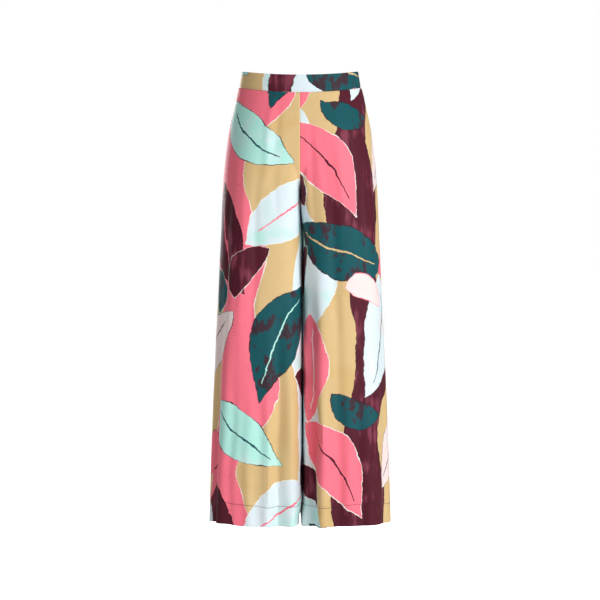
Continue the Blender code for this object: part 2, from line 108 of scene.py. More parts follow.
# Largest folds. Each follows a share of the half width and deepens from its start to the hem.
Fold = namedtuple("Fold", "across_top across_hem start half_width depth")
FOLDS = {
    (RIGHT, FRONT): [
        Fold(0.80, 0.86, -0.18, 0.030, 0.007),
        Fold(0.94, 0.95, -0.42, 0.026, -0.012),
        Fold(0.60, 0.64, -0.25, 0.034, -0.003),
        Fold(0.22, 0.20, -0.46, 0.024, -0.008),
        Fold(0.10, 0.08, -0.40, 0.022, 0.005),
    ],
    (LEFT, FRONT): [
        Fold(0.29, 0.24, -0.22, 0.028, 0.006),
        Fold(0.12, 0.10, -0.34, 0.030, -0.012),
        Fold(0.66, 0.62, -0.30, 0.034, -0.004),
        Fold(0.86, 0.80, -0.24, 0.028, 0.005),
        Fold(0.97, 0.93, -0.50, 0.026, -0.006),
    ],
    (RIGHT, BACK): [
        Fold(0.84, 0.88, -0.26, 0.030, 0.006),
        Fold(0.66, 0.70, -0.32, 0.030, -0.009),
        Fold(0.46, 0.44, -0.40, 0.030, 0.005),
        Fold(0.26, 0.20, -0.36, 0.028, -0.009),
    ],
    (LEFT, BACK): [
        Fold(0.76, 0.80, -0.30, 0.030, 0.007),
        Fold(0.60, 0.58, -0.38, 0.030, -0.008),
        Fold(0.40, 0.34, -0.34, 0.030, 0.005),
        Fold(0.20, 0.14, -0.42, 0.026, -0.008),
    ],
}
FOLD_GROWTH = 0.8
GRAIN_LINE = 0.5  # the grain line follows this share of the half width
FOLD_CENTRE_FADE = 0.050  # within this of the centre a fold moves less and less sideways

# Finer creases that swell and fade between two heights; one that ends below the hem runs out of it
Crease = namedtuple("Crease", "across_top across_bottom top bottom half_width depth")
CREASES = {
    (RIGHT, FRONT): [
        Crease(0.88, 0.90, -0.15, -0.66, 0.015, -0.0041),
        Crease(0.69, 0.71, -0.18, -0.70, 0.014, 0.0032),
        Crease(0.54, 0.57, -0.16, -0.76, 0.015, -0.0041),
        Crease(0.44, 0.41, -0.00, -0.32, 0.014, 0.0024),
        Crease(0.33, 0.30, -0.01, -0.36, 0.012, -0.0024),
        Crease(0.76, 0.78, -0.62, -1.18, 0.015, -0.0038),
        Crease(0.58, 0.57, -0.72, -1.24, 0.015, 0.0035),
        Crease(0.47, 0.45, -0.58, -1.22, 0.017, -0.0049),
        Crease(0.35, 0.35, -0.66, -1.28, 0.013, 0.0043),
        Crease(0.26, 0.24, -0.52, -1.38, 0.024, -0.0135),
        Crease(0.06, 0.05, -0.56, -1.38, 0.030, 0.0105),
    ],
    (LEFT, FRONT): [
        Crease(0.12, 0.20, -0.08, -0.42, 0.010, -0.0027),
        Crease(0.23, 0.31, -0.10, -0.44, 0.011, 0.0022),
        Crease(0.52, 0.50, -0.02, -0.44, 0.016, 0.0024),
        Crease(0.41, 0.45, -0.24, -0.80, 0.015, -0.0041),
        Crease(0.77, 0.80, -0.18, -0.66, 0.014, -0.0035),
        Crease(0.90, 0.91, -0.10, -0.56, 0.013, 0.0030),
        Crease(0.66, 0.67, -0.68, -1.24, 0.013, -0.0043),
        Crease(0.55, 0.53, -0.72, -1.26, 0.015, 0.0038),
        Crease(0.45, 0.41, -0.62, -1.24, 0.015, -0.0046),
        Crease(0.07, 0.07, -0.46, -1.38, 0.041, -0.0320),
        Crease(0.27, 0.25, -0.56, -1.38, 0.014, 0.0045),
    ],
    (RIGHT, BACK): [
        Crease(0.90, 0.92, -0.18, -0.62, 0.014, -0.0038),
        Crease(0.70, 0.72, -0.16, -0.52, 0.014, 0.0027),
        Crease(0.56, 0.60, -0.22, -0.72, 0.014, -0.0035),
        Crease(0.34, 0.32, -0.20, -0.60, 0.013, 0.0027),
        Crease(0.76, 0.78, -0.60, -1.22, 0.014, 0.0041),
        Crease(0.56, 0.55, -0.64, -1.26, 0.014, -0.0043),
        Crease(0.37, 0.34, -0.68, -1.28, 0.014, -0.0046),
        Crease(0.13, 0.12, -0.62, -1.30, 0.011, -0.0049),
    ],
    (LEFT, BACK): [
        Crease(0.88, 0.90, -0.20, -0.70, 0.014, -0.0038),
        Crease(0.66, 0.68, -0.14, -0.54, 0.014, 0.0027),
        Crease(0.48, 0.50, -0.20, -0.62, 0.014, -0.0032),
        Crease(0.30, 0.27, -0.26, -0.68, 0.013, 0.0027),
        Crease(0.69, 0.70, -0.62, -1.24, 0.014, -0.0043),
        Crease(0.49, 0.47, -0.62, -1.22, 0.014, 0.0041),
        Crease(0.29, 0.27, -0.70, -1.30, 0.013, -0.0046),
    ],
}
WANDER = 0.012  # the creases stray sideways by this share of the half width
WANDER_LENGTH = 0.26
WANDER_SPREAD = 40.0  # keeps neighbouring creases from straying together

# How far the hem rides up at these shares of the half width. It hangs lower where this is below 0
HEM_LIFT_SHARES = (0.0, 0.20, 0.40, 0.50, 0.66, 0.80, 0.90, 1.0)
HEM_LIFTS = {
    LEFT: (-0.0030, -0.0010, 0.0020, 0.0026, 0.0028, 0.0040, 0.0046, 0.0038),
    RIGHT: (-0.0010, 0.0004, 0.0008, 0.0008, 0.0026, 0.0066, 0.0068, 0.0046),
}
HEM_LIFT_FADES = 0.300

# Seams
SEAM_ROLL = (0.0008, 0.0030)  # depth and width of the cloth's roll into a seam
WAIST_ROLL = (0.0012, 0.0040)
PUCKER = 0.00022
PUCKER_WAVE = 0.017
PUCKER_DRIFT = (1.7, 41.0)  # how far and how often the puckers fall out of step
PUCKER_WIDTH = 0.007
CRINKLE = 0.0002  # the crepe's own unevenness
CRINKLE_WAVES = ((31.0, 55.0, 0.0), (-12.0, 83.0, 0.6))  # radians a metre up and across, and phase
ALLOWANCE_STEP = (0.0094, 0.0104)  # the pressed-open seam allowance ends here on the inside
HEM_DEPTH = 0.0475  # the hem's stitching lies this far above its fold
TURN_UP_STEP = (0.0004, 0.0016)  # the turn-up ends this far above its stitching
STITCH_DIMPLE = 0.0010
STITCH_DIMPLE_WIDTH = 0.0018
LINE_WAVE = 0.0038  # the hem's stitch line strays up and down by this much
LINE_WAVE_LENGTH = 0.23
LINE_WAVES = ((0.7, 1.0, 0.0), (0.3, 2.7, 1.0))  # share, frequency and phase

# Grid of the leg panels
SAMPLES = 120
EDGE_STEPS = (0.0, 0.0007, 0.0015, 0.0026, 0.0045, 0.0070, *ALLOWANCE_STEP)
CLEFT_COLUMNS = 16
FACE_COLUMNS = 42
ROW_STEP = 0.0048
WAIST_ROWS = (0.0, 0.0006, 0.0012, 0.0020, 0.0030, 0.0044, 0.0070, 0.0100)
CURVE_ANGLES = (*range(0, 90, 4), 90)  # degrees round the crotch curve
CROTCH_ROWS = (0.0010, 0.0030, 0.0060, 0.0100)
LINE_ROWS = (0.0060, 0.0044, 0.0032, 0.0021, 0.0010, 0.0, -0.0010, -0.0021, -0.0032, -0.0044, -0.0060)
ROLL_ANGLES = (30, 60, 90)  # rows that carry a folded edge round
BAND_ROWS = 9
SHARP_ANGLE = 46


# ---------------------------------------------------------------- form of the cloth


def smoothstep(value, start, end):
    """0 before start, 1 after end, and a soft ramp between."""
    share = np.clip((value - start) / (end - start), 0.0, 1.0)
    return share * share * (3.0 - 2.0 * share)


def unit(vectors):
    """Vectors brought to length 1."""
    return vectors / np.maximum(np.linalg.norm(vectors, axis=-1, keepdims=True), 1e-12)


def along(points):
    """Distance of each point along a line of points."""
    steps = np.linalg.norm(np.diff(points, axis=0), axis=1)
    return np.concatenate([[0.0], np.cumsum(steps)])


def read_line(places, distance, points):
    """Points of a line at some distances along it."""
    return np.column_stack([np.interp(places, distance, column) for column in points.T])


def section_at(sections, height):
    """Read every column of a section table at one height, on a smooth curve through its rows."""
    table = np.array(sections)[::-1]
    levels = table[:, 0]
    slopes = np.gradient(table, levels, axis=0)
    low = int(np.clip(np.searchsorted(levels, height) - 1, 0, len(levels) - 2))
    step = levels[low + 1] - levels[low]
    t = float(np.clip((height - levels[low]) / step, 0.0, 1.0))
    start = (2 * t**3 - 3 * t**2 + 1) * table[low] + (t**3 - 2 * t**2 + t) * step * slopes[low]
    end = (3 * t**2 - 2 * t**3) * table[low + 1] + (t**3 - t**2) * step * slopes[low + 1]
    return Section(*(start + end))


def inner_edge(height):
    """Distance of the centre seam, or of the inseam, from the middle plane."""
    if height >= CROTCH:
        return SEAM_GAP / 2
    opened = LEG_GAP + (LEG_GAP_AT_HEM - LEG_GAP) * smoothstep(-height, -HEM - LEG_GAP_OPENS, -HEM)
    return SEAM_GAP / 2 + (opened - SEAM_GAP / 2) * smoothstep(CROTCH - height, 0.0, LEG_GAP_SETTLES)


def cleft(reach, floor):
    """Depth of the cleft where its sides would reach in so far and its floor lies so deep."""
    if floor <= 0.0:
        return np.zeros_like(reach)
    limited = reach / (1.0 + (reach / floor) ** CLEFT_BLEND) ** (1.0 / CLEFT_BLEND)
    return limited * (1.0 + floor**CLEFT_BLEND) ** (1.0 / CLEFT_BLEND)


def half_section(section, face):
    """One half of a section, front or back, as points from the inner edge to the side seam."""
    depth = section.front if face == FRONT else section.back
    settled = smoothstep(-section.height, -CROTCH - CURVE_HEIGHTS[FRONT], -SQUARE_SETTLES)
    square = SQUARE_AT_CURVE + (SQUARE_AT_LEG - SQUARE_AT_CURVE) * settled
    inner_x = inner_edge(section.height)
    crown = max(section.crown, inner_x)

    turn = np.linspace(math.pi / 2, 0.0, SAMPLES, endpoint=False)
    reach = 1.0 - np.cos(turn) ** (2.0 / square)
    curve_height = CURVE_HEIGHTS[face]
    down_curve = float(np.clip((CROTCH + curve_height - section.height) / curve_height, 0.0, 1.0))
    floor = 1.0 - math.sqrt(1.0 - down_curve**2)
    inner_y = depth - (depth - face * CROTCH_Y) * cleft(reach, floor)
    inner_s = np.sin(turn) ** (2.0 / square)
    inner = np.column_stack([crown - (crown - inner_x) * inner_s, face * inner_y])

    turn = np.linspace(0.0, math.pi / 2, SAMPLES + 1)
    outer_x = crown + (section.half_width - crown) * np.sin(turn) ** (2.0 / section.fullness)
    outer_y = face * depth * np.cos(turn) ** (2.0 / section.fullness)
    return np.vstack([inner, np.column_stack([outer_x, outer_y])])


def trough(points, distance, across, half_width):
    """Rounded cross-section of a fold or crease, 1 at its middle line and 0 at its edges."""
    centre = np.interp(across * points[-1, 0], points[:, 0], distance)
    near = np.clip(np.abs(distance - centre) / half_width, 0.0, 1.0)
    return np.cos(near * math.pi / 2) ** 2


def fold_depths(leg, face, height, points):
    """Sum of the folds and creases at each point of a half section."""
    distance = along(points)
    depth = np.zeros(len(points))
    for fold in FOLDS[leg, face]:
        if height < fold.start:
            down = (fold.start - height) / (fold.start - HEM)
            across = fold.across_top + (fold.across_hem - fold.across_top) * down
            depth += fold.depth * down**FOLD_GROWTH * trough(points, distance, across, fold.half_width)
    for crease in CREASES[leg, face]:
        if crease.bottom < height < crease.top:
            down = (crease.top - height) / (crease.top - crease.bottom)
            stray = 2.0 * math.pi * height / WANDER_LENGTH + WANDER_SPREAD * crease.across_top
            across = crease.across_top + (crease.across_bottom - crease.across_top) * down
            across += WANDER * math.sin(stray)
            swell = crease.depth * math.sin(math.pi * down)
            depth += swell * trough(points, distance, across, crease.half_width)
    return depth


def column_places(points):
    """Distances of the columns along a half section, closer together at both seams."""
    distance = along(points)
    corner = np.interp(CLEFT_EDGE, points[:, 0], distance)
    edge = np.array(EDGE_STEPS)
    inner = np.linspace(edge[-1], corner, CLEFT_COLUMNS, endpoint=False)[1:]
    face = np.linspace(corner, distance[-1] - edge[-1], FACE_COLUMNS, endpoint=False)
    return np.concatenate([edge, inner, face, distance[-1] - edge[::-1]])


def folded_half(leg, face, sections, height):
    """Columns of a folded half section, with their distances from the grain line and from a seam."""
    plain = half_section(section_at(sections, height), face)
    tangent = unit(np.gradient(plain, axis=0))
    outward = np.column_stack([tangent[:, 1], -tangent[:, 0]]) * -face
    outward[:, 0] *= smoothstep(plain[:, 0], 0.0, FOLD_CENTRE_FADE)
    moved = plain + outward * fold_depths(leg, face, height, plain)[:, None]
    distance = along(plain)
    places = column_places(plain)
    grain = np.interp(GRAIN_LINE * plain[-1, 0], plain[:, 0], along(moved))
    widths = np.interp(places, distance, along(moved)) - grain
    return read_line(places, distance, moved), widths, np.minimum(places, distance[-1] - places)


def sway(height, y, x):
    """Sideways wave that the two inner leg walls share."""
    section = section_at(BODY_SECTIONS, height)
    share = np.clip((y + section.front) / (section.front + section.back), 0.0, 1.0)
    below = smoothstep(CROTCH - height, 0.0, SWAY_SETTLES)
    above_hem = smoothstep(height - HEM, *SWAY_ENDS)
    near_centre = 1.0 - smoothstep(x, 0.0, SWAY_WIDTH)
    return SWAY * np.sin(2.0 * math.pi * share) * below * above_hem * near_centre


def dip(height, y):
    """Drop of the rows at the centre front, which follows the waistband's curve."""
    at_seam = FRONT_DIP_SEAM * (1.0 - smoothstep(-height, -BAND_BOTTOM, -DIP_ENDS))
    at_top = FRONT_DIP_TOP + (FRONT_DIP_SEAM - FRONT_DIP_TOP) * (WAIST_TOP - height) / BAND_HEIGHT
    amount = at_seam if height <= BAND_BOTTOM else at_top
    depth = section_at(BODY_SECTIONS, min(height, BAND_BOTTOM)).front
    return amount * np.clip(-y / depth, 0.0, 1.0) ** DIP_SHAPE


def hem_lift(leg, height, x):
    """Rise of the rows near the hem."""
    share = x / section_at(BODY_SECTIONS, min(height, BAND_BOTTOM)).half_width
    fade = 1.0 - smoothstep(height - HEM, 0.0, HEM_LIFT_FADES)
    return np.interp(share, HEM_LIFT_SHARES, HEM_LIFTS[leg]) * fade


def ring_row(leg, sections, height):
    """One leg's row: inner edge, round the front to the side seam, round the back to the inner edge."""
    front, front_widths, front_seams = folded_half(leg, FRONT, sections, height)
    back, back_widths, back_seams = folded_half(leg, BACK, sections, height)
    side = (front[-1] + back[-1]) / 2
    flat = np.vstack([front[:-1], side, back[-2::-1]])
    x = leg * flat[:, 0] + sway(height, flat[:, 1], flat[:, 0])
    z = height - dip(height, flat[:, 1]) + hem_lift(leg, height, flat[:, 0])
    points = np.column_stack([x, flat[:, 1], z])
    widths = np.concatenate([front_widths, back_widths[::-1]])
    return points, widths, np.concatenate([front_seams[:-1], back_seams[::-1]])


Rings = namedtuple("Rings", "points widths seams")


def rings(leg, sections, heights):
    """A leg's rows at several heights."""
    rows = [ring_row(leg, sections, height) for height in heights]
    return Rings(*(np.array(column) for column in zip(*rows)))


def normals_of(grid, leg, closed_from):
    """Outward unit normals of a ring grid. Rows from closed_from down are joined at the inseam."""
    round_step = np.gradient(grid, axis=1)
    wrapped = grid[closed_from:, 1] - grid[closed_from:, -2]
    round_step[closed_from:, 0] = wrapped
    round_step[closed_from:, -1] = wrapped
    normals = unit(np.cross(np.gradient(grid, axis=0), round_step) * leg)
    seams = normals[:closed_from, [0, -1]]
    seams[..., 0] = leg * np.minimum(leg * seams[..., 0], 0.0)
    normals[:closed_from, [0, -1]] = unit(seams)
    return normals


def stepped(start, end, step):
    """Even levels from start towards end, without end."""
    return list(np.linspace(start, end, max(1, round(abs(end - start) / step)), endpoint=False))


def panel_heights():
    """Levels of a leg panel's rows, closer at the waist seam, the crotch curve and the hem's line."""
    curve_height = CURVE_HEIGHTS[FRONT]
    line = HEM + HEM_DEPTH
    hem_fold = HEM + TURN_UP / 2
    levels = [BAND_BOTTOM - SEAM_GAP - row for row in WAIST_ROWS]
    levels += stepped(levels[-1], CROTCH + curve_height, ROW_STEP)[1:]
    levels += [CROTCH + curve_height * (1.0 - math.sin(math.radians(angle))) for angle in CURVE_ANGLES]
    levels += [CROTCH - row for row in CROTCH_ROWS]
    levels += stepped(levels[-1], line + LINE_ROWS[0], ROW_STEP)[1:]
    levels += [line + row for row in LINE_ROWS]
    return levels + stepped(levels[-1], hem_fold, ROW_STEP)[1:] + [hem_fold]


def line_height(widths):
    """Height above the hem of the stitch line, which strays a little round the leg."""
    turn = 2.0 * math.pi / LINE_WAVE_LENGTH * widths
    waves = sum(share * np.sin(frequency * turn + phase) for share, frequency, phase in LINE_WAVES)
    return HEM_DEPTH + LINE_WAVE * waves


def roll_in(distance, depth, width):
    """Drop of the cloth as it rolls into the seam at distance 0."""
    return -depth * np.clip(1.0 - distance / width, 0.0, 1.0) ** 2


def relief(heights, seams, widths):
    """How far the outer face lies out of its form: seam rolls, pucker and the stitched line."""
    level = np.array(heights)[:, None]
    rolled = roll_in(seams, *SEAM_ROLL) + roll_in(BAND_BOTTOM - level, *WAIST_ROLL)
    drift, often = PUCKER_DRIFT
    wave = np.sin(2.0 * math.pi * level / PUCKER_WAVE + drift * np.sin(level * often))
    pucker = PUCKER * wave * np.exp(-((seams / PUCKER_WIDTH) ** 2))
    off_line = (level - HEM - line_height(widths)) / STITCH_DIMPLE_WIDTH
    dimple = -STITCH_DIMPLE * np.exp(-(off_line**2))
    one, other = [np.sin(up * level + across * widths + phase) for up, across, phase in CRINKLE_WAVES]
    return rolled + pucker + dimple + CRINKLE * one * other


def thickness(heights, seams, widths):
    """Layers of cloth: one over the panel, two at the seam allowances, three at the turn-up."""
    level = np.array(heights)[:, None]
    allowance = 1.0 - smoothstep(seams, *ALLOWANCE_STEP)
    turned = 1.0 - smoothstep(level - HEM - line_height(widths), *TURN_UP_STEP)
    return CREPE + np.maximum((TURN_UP - CREPE) * turned, CREPE * allowance)


# ---------------------------------------------------------------- meshes


def add_object(name, data):
    """An object in the scene."""
    made = bpy.data.objects.new(name, data)
    bpy.context.scene.collection.objects.link(made)
    return made


def add_mesh(name, points, faces, finishes):
    """A smooth-shaded mesh object with its materials."""
    mesh = bpy.data.meshes.new(name)
    mesh.from_pydata(points, [], faces)
    mesh.update()
    mesh.shade_smooth()
    for finish in finishes:
        mesh.materials.append(finish)
    return add_object(name, mesh)


def settle(piece, body=BODY, node=None):
    """Put a piece on its body and the node that it stands for."""
    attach(piece, body)
    if node:
        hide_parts(node)


def roll_edge(outer, inner):
    """Add rows that carry the last edge round from the outer face to the inner one."""
    away = unit(outer[-1] - outer[-2])
    middle = (outer[-1] + inner[-1]) / 2
    half = (outer[-1] - inner[-1]) / 2
    radius = np.linalg.norm(half, axis=1, keepdims=True)
    turns = [math.radians(angle) for angle in ROLL_ANGLES]
    outer_rows = [middle + half * math.cos(turn) + away * radius * math.sin(turn) for turn in turns]
    inner_rows = [middle - half * math.cos(turn) + away * radius * math.sin(turn) for turn in turns]
    return np.concatenate([outer, outer_rows]), np.concatenate([inner, inner_rows])


def grown(rows):
    """Repeat a grid's last row for the rows that roll_edge adds."""
    return np.concatenate([rows] + [rows[-1:]] * len(ROLL_ANGLES))


def drawn_back(faces, first_at_start=0, first_at_end=0):
    """Draw the edge columns back from their seams by half of the gap, from a row of each down."""
    faces = faces.copy()
    for column, neighbour, first in ((0, 1, first_at_start), (-1, -2, first_at_end)):
        towards = unit(faces[:, first:, neighbour] - faces[:, first:, column])
        faces[:, first:, column] += towards * SEAM_GAP / 2
    return faces


def quads(index):
    """Faces of a grid of point numbers."""
    corners = (index[:-1, :-1], index[1:, :-1], index[1:, 1:], index[:-1, 1:])
    return np.stack(corners, axis=-1).reshape(-1, 4)


def strip(one, other):
    """Faces that join each point number of two lines, or grids, to the next."""
    return np.stack([one[:-1], other[:-1], other[1:], one[1:]], axis=-1)


def cloth_shell(name, outer, inner, cloth, seams, finishes):
    """Closed thin shell between two grids of points that share their last row.

    The outer faces take the first material, and the inner faces and the cut edges the second.
    """
    rows, columns = outer.shape[:2]
    outer_index = np.arange(rows * columns).reshape(rows, columns)
    inner_index = np.vstack([rows * columns + outer_index[:-1], outer_index[-1:]])
    points = np.concatenate([outer.reshape(-1, 3), inner[:-1].reshape(-1, 3)])

    face = quads(outer_index)
    lining = quads(inner_index)[:, ::-1]
    edges = [
        strip(inner_index[:, 0], outer_index[:, 0])[:-1],
        strip(outer_index[:, -1], inner_index[:, -1])[:-1],
        strip(outer_index[0], inner_index[0]),
    ]
    corners = [
        (inner_index[-2, 0], outer_index[-2, 0], outer_index[-1, 0]),
        (outer_index[-2, -1], inner_index[-2, -1], outer_index[-1, -1]),
    ]
    faces = [*face.tolist(), *lining.tolist(), *np.concatenate(edges).tolist(), *corners]
    sample = face[len(face) // 2]
    a, b, _, d = points[sample]
    out = a - inner.reshape(-1, 3)[sample[0]]
    if np.dot(np.cross(b - a, d - a), out) < 0.0:
        faces = [one[::-1] for one in faces]
    made = add_mesh(name, points.tolist(), faces, finishes)
    mesh = made.data
    mesh.set_sharp_from_angle(angle=math.radians(SHARP_ANGLE))
    slots = np.ones(len(faces), np.int32)
    slots[: len(face)] = 0
    mesh.polygons.foreach_set("material_index", slots)

    both = np.concatenate([outer_index.ravel(), outer_index[:-1].ravel()])
    corner_point = np.zeros(len(mesh.loops), np.int32)
    mesh.loops.foreach_get("vertex_index", corner_point)
    layer = mesh.uv_layers.new(name="Cloth")
    layer.data.foreach_set("uv", cloth.reshape(-1, 2)[both][corner_point].astype(np.float32).ravel())
    distance = mesh.attributes.new("seam", "FLOAT", "POINT")
    distance.data.foreach_set("value", seams.reshape(-1)[both].astype(np.float32))
    return made


# Where each piece is cut from the printed cloth
CUT_FROM = {
    "front_left": (0.415, 0.310),
    "front_right": (0.120, 0.085),
    "back_left": (0.020, 0.465),
    "back_right": (0.305, 0.560),
    "waistband_front": (0.330, 0.565),
    "waistband_back_left": (0.530, 0.395),
    "waistband_back_right": (0.080, 0.240),
}


def cloth_piece(node, faces, widths, heights, seams, finishes):
    """The cloth of one cut piece, with a rolled last edge. It stands for its node."""
    across, up = CUT_FROM[node]
    levels = np.broadcast_to(np.array(heights)[:, None], widths.shape)
    cloth = np.stack([across + widths, up + levels], axis=-1)
    piece = cloth_shell(f"{node}_cloth", *roll_edge(*faces), grown(cloth), grown(seams), finishes)
    settle(piece, node=node)
    return piece


def leg_panels(leg, side, finishes):
    """Front and back panel of one leg. Returns the hem's stitch lines, outside and inside."""
    heights = panel_heights()
    form = rings(leg, BODY_SECTIONS, heights)
    below_crotch = int(np.argmin(np.abs(np.array(heights) - CROTCH))) + 1
    form.points[:below_crotch, [0, -1], 0] = leg * CENTRE_SEAM_HALF
    normals = normals_of(form.points, leg, below_crotch)
    rolling = normals.copy()
    rolling[:below_crotch, [0, -1], 0] = 0.0  # the centre seams stay shut
    half = form.points.shape[1] // 2
    round_leg = np.delete(form.widths, half + 1, axis=1)
    outer = form.points + rolling * relief(heights, form.seams, round_leg)[..., None]
    inner = outer - normals * thickness(heights, form.seams, round_leg)[..., None]
    front_widths, back_widths = np.hsplit(form.widths, 2)
    for name, face, first, drawn_from, widths, band in (
        ("front", FRONT, 0, (below_crotch, 0), front_widths, "waistband_front"),
        ("back", BACK, half, (0, below_crotch), back_widths, f"waistband_back_{side}"),
    ):
        part = slice(first, first + half + 1)
        faces = drawn_back(np.stack([outer[:, part], inner[:, part]]), *drawn_from)
        across = -leg * face * widths
        seams = form.seams[:, part]
        piece = cloth_piece(f"{name}_{side}", faces, across, heights, seams, finishes)
    return [hem_line(surface, heights, round_leg[-1]) for surface in (outer, inner)]


def hem_line(surface, heights, widths):
    """Points of the stitch line round one face of a leg."""
    levels = heights[::-1]
    targets = HEM + line_height(widths)
    columns = range(surface.shape[1] - 1)
    return np.vstack([read_line(targets[column], levels, surface[::-1, column]) for column in columns])


# The back waistband stands open above the slider
SLIDER_NECK_FOOT = 0.0084
ZIP_EDGE_LEVELS = (0.0062, SLIDER_NECK_FOOT, WAIST_TOP)
ZIP_EDGE_HALVES = (SEAM_GAP / 2, 0.0011, 0.0020)
ZIP_EDGE_FADE = 0.012


def waistband(finishes):
    """Front waistband and two back halves, faced, with a rolled top edge."""
    levels = np.linspace(BAND_BOTTOM, WAIST_TOP - BAND_CLOTH / 2, BAND_ROWS)
    foot = roll_in(levels[:, None] - BAND_BOTTOM, *WAIST_ROLL)
    faces, seams = {}, {}
    for leg, _ in SIDES:
        form = rings(leg, BAND_SECTIONS, levels)
        normals = -normals_of(form.points, leg, BAND_ROWS)
        rolled = roll_in(form.seams, *SEAM_ROLL)
        rolled[:, : len(EDGE_STEPS)] = 0.0  # no seam at the centre front
        outer = form.points + normals * (foot + rolled)[..., None]
        faces[leg] = np.stack([outer, form.points - normals * BAND_CLOTH])
        seams[leg] = form.seams
    half = faces[LEFT].shape[2] // 2

    middle = (faces[RIGHT][:, :, :1] + faces[LEFT][:, :, :1]) / 2
    halves = [faces[RIGHT][:, :, half:0:-1], middle, faces[LEFT][:, :, 1 : half + 1]]
    front = drawn_back(np.concatenate(halves, axis=2))
    widths = np.array([along(row) for row in front[0]])
    ends = np.minimum(widths, widths[:, -1:] - widths)
    band_piece("waistband_front", front, widths - widths[:, half : half + 1], levels, ends, finishes)

    opening = np.interp(levels, ZIP_EDGE_LEVELS, ZIP_EDGE_HALVES)[:, None] - ZIP_EDGE_HALVES[0]
    for leg, side in SIDES:
        back = drawn_back(faces[leg][:, :, half:], 0, BAND_ROWS)
        back[..., 0] += leg * opening * (1.0 - smoothstep(np.abs(back[..., 0]), 0.0, ZIP_EDGE_FADE))
        widths = -leg * np.array([along(row) for row in back[0]])
        band_piece(f"waistband_back_{side}", back, widths, levels, seams[leg][:, half:], finishes)


def band_piece(node, faces, widths, levels, seams, finishes):
    """One piece of the waistband."""
    piece = cloth_piece(node, faces, widths, levels, seams, finishes)


def tube(path, radii, across, up, sides):
    """Points and faces of a closed tube round a path. Its section lies along across and up."""
    turn = 2.0 * math.pi * np.arange(sides)[:, None] / sides
    section = np.cos(turn) * across[:, None] + np.sin(turn) * up[:, None]
    points = path[:, None] + np.reshape(radii, (-1, 1, 1)) * section
    index = np.arange(len(path) * sides).reshape(len(path), sides)
    walls = strip(index, np.roll(index, -1, axis=1)).reshape(-1, 4).tolist()
    return points.reshape(-1, 3).tolist(), [*walls, index[0, ::-1].tolist(), index[-1].tolist()]


def joined(parts):
    """The points and faces of several parts, as one."""
    points, faces = [], []
    for more, sewn in parts:
        faces += [[len(points) + corner for corner in face] for face in sewn]
        points += more
    return points, faces


# Hem stitching
STITCH_LENGTH = 0.0029
STITCH_PITCH = 0.0032
THREAD_RADIUS = 0.00048
STITCH_SIDES = 6
STITCH_PROFILE = ((0.0, 0.35), (0.18, 0.9), (0.5, 1.0), (0.82, 0.9), (1.0, 0.35))  # place, radius
STITCH_RISE = 0.9  # a stitch rises by this share of its radius
STITCH_SINK = 0.6  # and lies this share of the thread's radius deep
UP = np.array([[0.0, 0.0, 1.0]])


def stitches(line, outside):
    """Points and faces of a closed row of stitches. outside is 1, or -1 on the inner face."""
    closed = np.vstack([line, line[:1]])
    distance = along(closed)
    count = int(distance[-1] / STITCH_PITCH)
    pitch = distance[-1] / count
    middle = closed.mean(axis=0)
    places, radii = np.array(STITCH_PROFILE).T
    lift = THREAD_RADIUS * (radii * STITCH_RISE - STITCH_SINK) * outside
    sewn = []
    for k in range(count):
        path = read_line(k * pitch + STITCH_LENGTH * places, distance, closed)
        out = np.cross(unit(path[-1] - path[0]), UP)
        out *= math.copysign(1.0, np.dot(out[0], path[0] - middle))
        sewn.append(tube(path + out * lift[:, None], THREAD_RADIUS * radii, out, UP, STITCH_SIDES))
    return joined(sewn)


def hem_stitching(side, lines, finish):
    """The stitched line of one hem, outside and inside."""
    points, faces = joined(stitches(line, outside) for line, outside in zip(lines, (1, -1)))
    settle(add_mesh(f"hem_stitches_{side}", points, faces, [finish]))


# ---------------------------------------------------------------- zip

COIL_PITCH = 0.0013
COIL_RADIUS = 0.0007
COIL_FLATNESS = 0.8
COIL_WIRE = 0.00026
COIL_REACH = 0.00062  # each coil's middle line stands this far from the centre
COIL_STEPS = 10
COIL_SIDES = 6
COIL_TOP_INSET = 0.0006
COIL_END_INSET = 0.0040
TAPE_MIDDLE = 0.0006  # the tape's middle points lie this near to the centre
SAME_LEVEL = 0.0002
STOP_SIZE = (0.0046, 0.0018, 0.0034)
STOP_ROUNDING = (0.0006, 4)  # width and segments
METAL_ROUNDING = (0.00025, 3)
ROUNDED_FROM = 35  # degrees
WELD = 0.00001
FLAT_ANGLE = 1  # degrees


def tape_line():
    """Middle of the tape's inner face, from its top down."""
    corners = np.array([vertex.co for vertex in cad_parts["zip_tape"].data.vertices])
    middle = corners[np.abs(corners[:, 0]) < TAPE_MIDDLE]
    levels = sorted({round(z, 4) for z in middle[:, 2]}, reverse=True)
    line = [middle[np.abs(middle[:, 2] - z) < SAME_LEVEL] for z in levels]
    return np.array([[0.0, row[:, 1].min(), row[:, 2].mean()] for row in line])


def zip_coils(finish):
    """The two interlocked coils on the inner face of the tapes. Returns the tapes' line."""
    line = tape_line()
    depth = along(line)
    count = int((depth[-1] - COIL_TOP_INSET - COIL_END_INSET) / COIL_PITCH * COIL_STEPS)
    step = np.arange(count)
    coils = []
    for side, _ in SIDES:
        turn = 2.0 * math.pi * step / COIL_STEPS + (math.pi if side == RIGHT else 0.0)
        path = read_line(COIL_TOP_INSET + step * COIL_PITCH / COIL_STEPS, depth, line)
        path[:, 0] += side * COIL_REACH + COIL_RADIUS * np.cos(turn)
        path[:, 1] -= COIL_RADIUS * (1.0 + np.sin(turn) * COIL_FLATNESS)
        tangent = unit(np.gradient(path, axis=0))
        across = unit(np.cross(tangent, UP))
        coils.append(tube(path, COIL_WIRE, across, np.cross(across, tangent), COIL_SIDES))
    settle(add_mesh("zip_coils", *joined(coils), [finish]))
    return line


